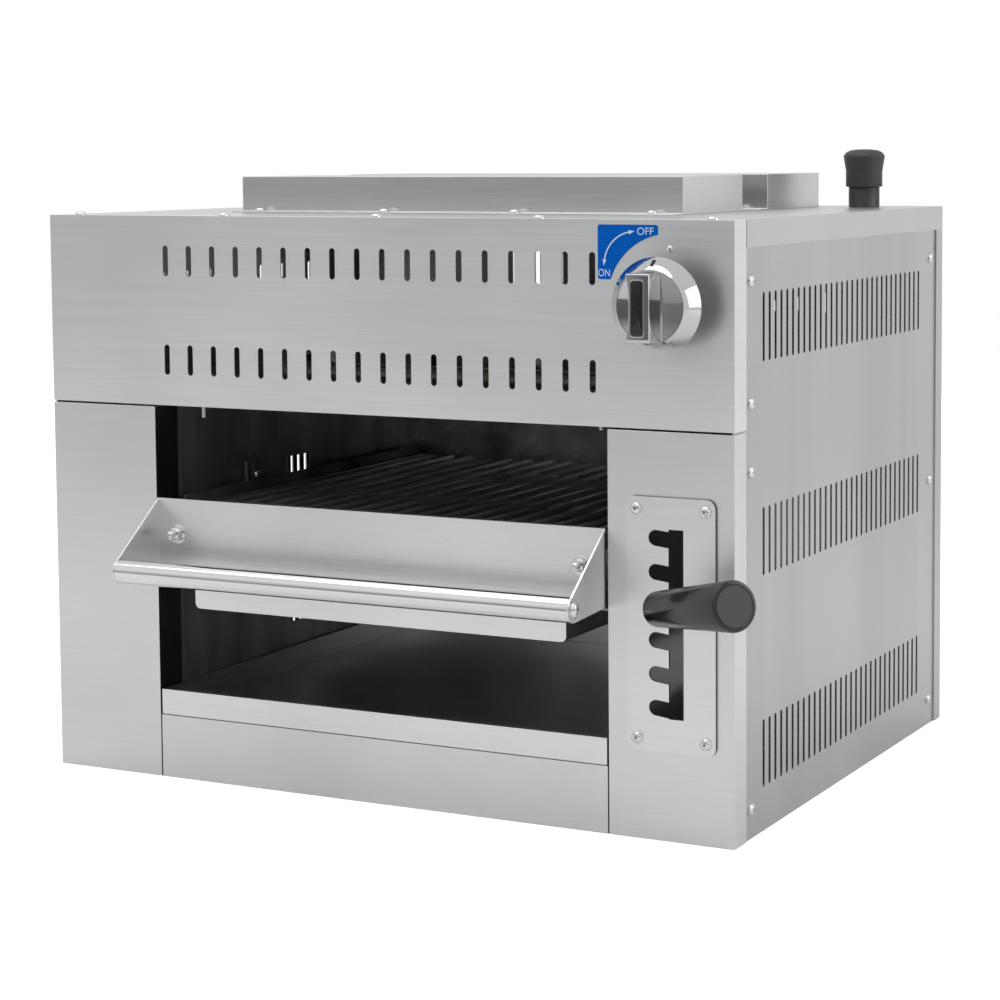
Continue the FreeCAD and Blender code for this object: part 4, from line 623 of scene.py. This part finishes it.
for vert in bar.verts:
    if vert.co.x < 0:
        vert.co.x += BAR_HOLLOW * (1 - (2 * vert.co.y / BAR_HEIGHT) ** 2)
bevel_sharp(bar, BAR_EDGE, segments=3)
take_in(knob, bar)
foot = slab(BAR_WIDTH + 2 * FOOT_RIM, BAR_HEIGHT, face_level - BAR_SINK, face_level + FOOT_RIM)
bevel_sharp(foot, FOOT_EDGE, segments=3)
take_in(knob, foot)
lip = slab(INSERT_WIDTH + 2 * LIP_WIDTH, INSERT_HEIGHT + 2 * LIP_WIDTH, bar_front - INSERT_DEPTH, bar_front,
           LIP_CORNER)
lip.normal_update()
front = [face for face in lip.faces if face.normal.z > FACING_OUT]
bmesh.ops.inset_region(lip, faces=front, thickness=LIP_WIDTH, depth=0.0, use_boundary=True,
                       use_even_offset=True)
bmesh.ops.inset_region(lip, faces=front, thickness=POCKET_SLOPE, depth=-INSERT_DEPTH / 2, use_boundary=True,
                       use_even_offset=True)
bevel_sharp(lip, LIP_EDGE, segments=2)
take_in(knob, lip)
at_knob = facing(((low.x + high.x) / 2, high.y, (low.z + high.z) / 2), (0, -1, 0))
bmesh.ops.transform(knob, matrix=at_knob, verts=knob.verts)
fit("knob_casting", knob, "knob", "chrome_plate", chrome, "knob")

insert = slab(INSERT_WIDTH - LIP_EDGE, INSERT_HEIGHT - LIP_EDGE, bar_front - INSERT_DEPTH,
              bar_front - LIP_EDGE, LIP_CORNER - LIP_WIDTH)
bevel_sharp(insert, INSERT_EDGE, segments=3)
bmesh.ops.transform(insert, matrix=at_knob, verts=insert.verts)
fit("knob_inlay", insert, "knob", "black_bakelite", bakelite, "knob_insert")

cone_rise = SKIRT_DEPTH - SKIRT_RIM
cone_run = skirt_radius - FACE_RADIUS
share = (skirt_radius - MARK_RADIUS) / cone_run
mark = slab(MARK_WIDTH, MARK_LENGTH, -MARK_DEPTH / 2, MARK_DEPTH / 2)
bmesh.ops.rotate(mark, cent=(0, 0, 0), matrix=Matrix.Rotation(-math.atan2(cone_rise, cone_run), 3, "X"),
                 verts=mark.verts)
bmesh.ops.translate(mark, vec=(0, MARK_RADIUS, HUB_LENGTH + SKIRT_RIM + cone_rise * share), verts=mark.verts)
bmesh.ops.transform(mark, matrix=at_knob, verts=mark.verts)
fit("knob_mark", mark, "knob", "black_bakelite", black_paint)

# Carrier: folded steel rails, cross member and slotted hooks that rise and fall with the lever.
# The steel is a darker grey. A small polished bolt holds each hook.
carrier_steel = finish("carrier steel, dark grey", "#8C8C8E", 0.85, (14, 14, 14), (0.5, 1.3),
                       (0.45, 0.32), 4.0)
dress(carrier_steel, "left_carrier_rail", "right_carrier_rail", "rear_cross_member", "front_hooks")
ease("left_carrier_rail", "right_carrier_rail", "rear_cross_member", "front_hooks")
screws("hook_bolts", "carrier", lambda middle: (-math.copysign(1, middle.x), 0, 0))

# Lever: a bent steel rod leaves the gate and carries a tapered grip of black bakelite.
# The grip ends in a matt disc inside a bevelled rim, and its root is rounded.
GRIP_STEPS = 64
GRIP_ROOT_ROUND = 0.0028
GRIP_ROOT_MIDDLE = (0.00112, 0.0008)
GRIP_RIM = 0.0007
GRIP_BEVEL = 0.002
GRIP_BEVEL_MIDDLE = (0.0014, 0.0006)
# The way from the grip's root to its end.
GRIP_HEADING = (0.8174, -0.5496, 0.1751)
END_SLICE = 0.0001
DISC_DEPTH = 0.0003


def end_circle(node, way):
    """The centre and radius of the circle at a node's furthest end along a direction."""
    shape = merged(node)
    furthest = max(vert.co.dot(way) for vert in shape.verts)
    ring = [vert.co.copy() for vert in shape.verts if vert.co.dot(way) > furthest - END_SLICE]
    shape.free()
    centre = sum(ring, Vector()) / len(ring)
    return centre, max((point - centre).length for point in ring)


fit("lever_bent_rod", merged("lever_rod"), "lever", "polished_stainless", polished, "lever_rod")
heading = Vector(GRIP_HEADING)
root, root_radius = end_circle("lever_grip", -heading)
tip, tip_radius = end_circle("lever_grip", heading)
grip_length = (tip - root).length
disc_radius = tip_radius - GRIP_RIM * 2
disc_floor = grip_length - DISC_DEPTH * 2
grip = turned([(0.0, 0.0), (root_radius - GRIP_ROOT_ROUND, 0.0),
               (root_radius - GRIP_ROOT_MIDDLE[0], GRIP_ROOT_MIDDLE[1]), (root_radius, GRIP_ROOT_ROUND),
               (tip_radius + GRIP_BEVEL, grip_length - GRIP_BEVEL),
               (tip_radius + GRIP_BEVEL_MIDDLE[0], grip_length - GRIP_BEVEL_MIDDLE[1]),
               (tip_radius, grip_length), (tip_radius - GRIP_RIM, grip_length), (disc_radius, disc_floor),
               (0.0, disc_floor)], GRIP_STEPS)
bmesh.ops.transform(grip, matrix=facing(root, tip - root), verts=grip.verts)
fit("lever_handle", grip, "lever", "black_bakelite", bakelite, "lever_grip")
disc = turned([(0.0, 0.0), (disc_radius, 0.0), (disc_radius, DISC_DEPTH), (0.0, DISC_DEPTH)], GRIP_STEPS)
bmesh.ops.translate(disc, vec=(0, 0, disc_floor), verts=disc.verts)
bmesh.ops.transform(disc, matrix=facing(root, tip - root), verts=disc.verts)
fit("lever_handle_end", disc, "lever", "black_bakelite", matt_bakelite)

# Cooking grid: round steel rods welded across three flat strips, between two side bars.
# The rods are dark from use, and the strips are painted bright: a painted highlight on their flats.
ROD_COUNT = 18
ROD_PITCH = 0.0204
ROD_RADIUS = 0.003
ROD_FRONT = 0.018
ROD_STEPS = 14
ROD_EDGE = 0.0006
ROD_EDGE_ANGLE = math.radians(60)
STRIP_WIDTH = 0.009
STRIP_DEPTH = 0.003
STRIP_PLACES = (0.071, 0.176, 0.333)
SIDE_BAR = 0.006
SIDE_BAR_HEIGHT = 0.0095
FLAT_EDGE = 0.0005

grid_black = finish("grid rod steel, seasoned", "#CDCDCE", 0.9, (60, 10, 60), (0.6, 1.1), (0.28, 0.18), 4.0)
# The strips' pale colour is a painted highlight.
bright_strip_steel = finish("grid strip steel, painted highlight", "#F0F0EF", 0.3, (60, 60, 60), (0.7, 1.05), (0.4, 0.3),
                    4.0)
low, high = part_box("cooking_grid")


def flat_bar(shape, lowest, highest):
    """Add a bar between two corners, with its edges rounded, to a shape."""
    block = bmesh.new()
    bmesh.ops.create_cube(block, size=1)
    bmesh.ops.scale(block, vec=Vector(highest) - Vector(lowest), verts=block.verts)
    bmesh.ops.translate(block, vec=(Vector(highest) + Vector(lowest)) / 2, verts=block.verts)
    bevel_sharp(block, FLAT_EDGE, segments=2)
    take_in(shape, block)


rods = bmesh.new()
rod_length = high.y - low.y - ROD_FRONT
rod_middle = (low.y + ROD_FRONT + high.y) / 2
for number in range(ROD_COUNT):
    made = bmesh.ops.create_cone(rods, cap_ends=True, segments=ROD_STEPS, radius1=ROD_RADIUS,
                                 radius2=ROD_RADIUS, depth=rod_length)["verts"]
    aside = (number - (ROD_COUNT - 1) / 2) * ROD_PITCH
    bmesh.ops.transform(rods, matrix=facing((aside, rod_middle, high.z - ROD_RADIUS), (0, 1, 0)), verts=made)
bevel_sharp(rods, ROD_EDGE, segments=2, angle=ROD_EDGE_ANGLE)
for inner, outer in ((low.x, low.x + SIDE_BAR), (high.x - SIDE_BAR, high.x)):
    flat_bar(rods, (inner, low.y, low.z), (outer, high.y, low.z + SIDE_BAR_HEIGHT))
fit("grid_rods", rods, "rack", "dark_grid_steel", grid_black, "cooking_grid")
strips = bmesh.new()
for place in STRIP_PLACES:
    middle = low.y + place
    flat_bar(strips, (low.x + SIDE_BAR, middle - STRIP_WIDTH / 2, low.z),
             (high.x - SIDE_BAR, middle + STRIP_WIDTH / 2, low.z + STRIP_DEPTH))
fit("grid_strips", strips, "rack", "dark_grid_steel", bright_strip_steel)
dress(grid_black, "grid_ears")

# Heat shield: a stainless sheet with two folded wings that hold the handle tube.
# Nuts on two welded studs fix it to the grid's ears, and pan screws hold the tube's ends.
TUBE_STEPS = 64
TUBE_WALL = 0.0015
TUBE_EDGE = 0.0003
NUT_SIZE = 0.0115
NUT_HEIGHT = 0.006
NUT_EDGE = 0.0006
WASHER_RADIUS = 0.0075
WASHER_DEPTH = 0.0015
WASHER_EDGE = 0.0004
WASHER_SIDE = 0.0012
STUD_RADIUS = 0.0033
STUD_DOME = 0.0012

# The stud's rounded end: shares of its radius, and of the dome's height from the top.
STUD_END = ((1.0, 1.0), (0.75, 0.3), (0.4, 0.05), (0.0, 0.0))

shield_steel = brushed("stainless shield, brushed", "#D8D9D9", 0.3)
dress(shield_steel, "heat_shield")
ease("heat_shield")

tube_steel = finish("handle tube steel, polished", "#DCDCDC", 1.0, (8, 900, 900), (0.92, 1.02), (0.07, 0.15),
                    2.0)
low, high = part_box("handle_tube")
tube_radius = (high.z - low.z) / 2
tube_length = high.x - low.x
tube_bore = tube_radius - TUBE_WALL
tube = turned([(tube_bore, 0.0), (tube_radius - TUBE_EDGE, 0.0), (tube_radius, TUBE_EDGE),
               (tube_radius, tube_length - TUBE_EDGE), (tube_radius - TUBE_EDGE, tube_length),
               (tube_bore, tube_length), (tube_bore, 0.0)], TUBE_STEPS)
bmesh.ops.transform(tube, matrix=facing((low.x, (low.y + high.y) / 2, (low.z + high.z) / 2), (1, 0, 0)),
                    verts=tube.verts)
fit("handle_bar", tube, "rack", "polished_stainless", tube_steel, "handle_tube")
screws("handle_screws", "rack", lambda middle: (math.copysign(1, middle.x), 0, 0))

bolts = bmesh.new()
for low, high in islands("shield_bolts"):
    seat = Vector(((low.x + high.x) / 2, high.y, (low.z + high.z) / 2))
    length = high.y - low.y
    profile = [(0.0, 0.0), (WASHER_RADIUS, 0.0), (WASHER_RADIUS, WASHER_SIDE),
               (WASHER_RADIUS - WASHER_EDGE, WASHER_DEPTH), (STUD_RADIUS, WASHER_DEPTH)]
    profile += [(STUD_RADIUS * wide, length - STUD_DOME * down) for wide, down in STUD_END]
    stack = turned(profile, SCREW_STEPS)
    nut = bmesh.ops.create_cone(stack, cap_ends=True, segments=6, radius1=NUT_SIZE / 2, radius2=NUT_SIZE / 2,
                                depth=NUT_HEIGHT)["verts"]
    bmesh.ops.translate(stack, vec=(0, 0, WASHER_DEPTH + NUT_HEIGHT / 2), verts=nut)
    ring = [edge for edge in stack.edges if all(vert in nut for vert in edge.verts)]
    round_off(stack, ring, NUT_EDGE, segments=2)
    bmesh.ops.transform(stack, matrix=facing(seat, (0, -1, 0)), verts=stack.verts)
    take_in(bolts, stack)
fit("shield_studs", bolts, "rack", "polished_stainless", polished, "shield_bolts")

# Trays: thin stainless pans. The drip tray hangs in the carrier by its flanges, and the crumb
# tray lies on its runners at the cavity's floor.
tray_steel = brushed("stainless trays, brushed", "#DADBDB", 0.3)
dress(tray_steel, "drip_tray", "crumb_tray")
ease("drip_tray", "crumb_tray")

# Floor, lamps and camera: a white table and white walls behind, a bright ceiling, and a dark room in front.
# The camera was fitted to the photograph and then fitted again with a smaller shift.
CAMERA_PLACE = (0.97755, -1.82091, 0.49844)
CAMERA_TURN = (math.radians(4.601), math.radians(26.207), math.radians(-0.301))
PHOTO_SIZE = 1000
PHOTO_FOCUS = 2462.7
PHOTO_CENTRE = (600, 350)
SENSOR = 36.0
FLOOR_SIZE = 6.0
FLOOR_COLOUR = "#E6E6E6"
FLOOR_ROUGHNESS = 0.9
FLOOR_GLOW = 0.5
WHITE = "#FFFFFF"

camera_data = bpy.data.cameras.new("camera")
camera_data.sensor_width = SENSOR
camera_data.lens = PHOTO_FOCUS / PHOTO_SIZE * SENSOR
camera_data.shift_x = 0.5 - PHOTO_CENTRE[0] / PHOTO_SIZE
camera_data.shift_y = PHOTO_CENTRE[1] / PHOTO_SIZE - 0.5
camera_data.clip_end = 100.0
camera = bpy.data.objects.new("camera", camera_data)
bpy.context.scene.collection.objects.link(camera)
pitch, yaw, roll = CAMERA_TURN
aim = Euler((math.pi / 2 - pitch, 0, yaw)).to_matrix().to_4x4() @ Matrix.Rotation(roll, 4, "Z")
camera.matrix_world = Matrix.Translation(CAMERA_PLACE) @ aim
bpy.context.scene.camera = camera

floor_shape = bmesh.new()
bmesh.ops.create_grid(floor_shape, x_segments=1, y_segments=1, size=FLOOR_SIZE / 2)
floor = as_object("floor", floor_shape)
floor_paint = bpy.data.materials.new("floor, matt white")
floor_paint.use_nodes = True
tree = floor_paint.node_tree
surface = tree.nodes["Principled BSDF"]
surface.inputs["Base Color"].default_value = linear(FLOOR_COLOUR)
surface.inputs["Roughness"].default_value = FLOOR_ROUGHNESS
path = add(tree, "LightPath").outputs["Is Camera Ray"]
glow = add(tree, "Math", {"operation": "MULTIPLY", 1: FLOOR_GLOW}, {0: path}).outputs["Value"]
surface.inputs["Emission Color"].default_value = linear(WHITE)
tree.links.new(glow, surface.inputs["Emission Strength"])
floor.data.materials.append(floor_paint)

# Each lamp's name, place, target, size and power in watts.
LAMPS = (
    ("side", (2.6, 0.4, 1.0), (0.3, 0.0, 0.2), (1.4, 1.6), 12.0),
    ("top", (-0.3, -0.6, 2.4), (0.0, 0.0, 0.3), (2.4, 2.0), 25.0),
)
for name, spot, target, (width, height), power in LAMPS:
    lamp = bpy.data.lights.new(name, "AREA")
    lamp.shape = "RECTANGLE"
    lamp.size = width
    lamp.size_y = height
    lamp.energy = power
    holder = bpy.data.objects.new(name, lamp)
    bpy.context.scene.collection.objects.link(holder)
    away = Vector(spot) - Vector(target)
    holder.matrix_world = Matrix.Translation(spot) @ away.to_track_quat("Z", "Y").to_matrix().to_4x4()

# The room that the metal mirrors: its shades from below to above, and white walls except in front.
# The camera itself sees only white.
ROOM_BELOW = "#B0B0B0"
ROOM_SHADES = ((0.38, "#707070"), (0.56, "#6A6A6A"), (0.75, "#E0E0E0"))
ROOM_HEIGHTS = {"From Min": -0.5, "From Max": 0.5}
WALL_WHITE = "#F0F0F0"
WALL_START = {"From Min": -1.0, "From Max": -0.3}

world = bpy.data.worlds.new("studio")
bpy.context.scene.world = world
world.use_nodes = True
tree = world.node_tree
sky = tree.nodes["Background"]
way = add(tree, "SeparateXYZ", {}, {"Vector": add(tree, "TexCoord").outputs["Generated"]})
level = add(tree, "MapRange", ROOM_HEIGHTS, {"Value": way.outputs["Z"]}).outputs["Result"]
room = add(tree, "ValToRGB", {}, {"Fac": level})
stops = room.color_ramp.elements
stops[0].color = linear(ROOM_BELOW)
stops[1].color = linear(WHITE)
for place, colour in ROOM_SHADES:
    stops.new(place).color = linear(colour)
behind = add(tree, "MapRange", WALL_START, {"Value": way.outputs["Y"]}).outputs["Result"]
walls = add(tree, "Mix", {"data_type": "RGBA", COLOUR_B: linear(WALL_WHITE)},
            {MIX_FACTOR: behind, COLOUR_A: room.outputs["Color"]}).outputs[COLOUR_OUT]
seen = add(tree, "LightPath").outputs["Is Camera Ray"]
mix = add(tree, "Mix", {"data_type": "RGBA", COLOUR_B: linear(WHITE)},
          {MIX_FACTOR: seen, COLOUR_A: walls}).outputs[COLOUR_OUT]
tree.links.new(mix, sky.inputs["Color"])
sky.inputs["Strength"].default_value = 1.0
bpy.context.scene.view_settings.view_transform = "Standard"
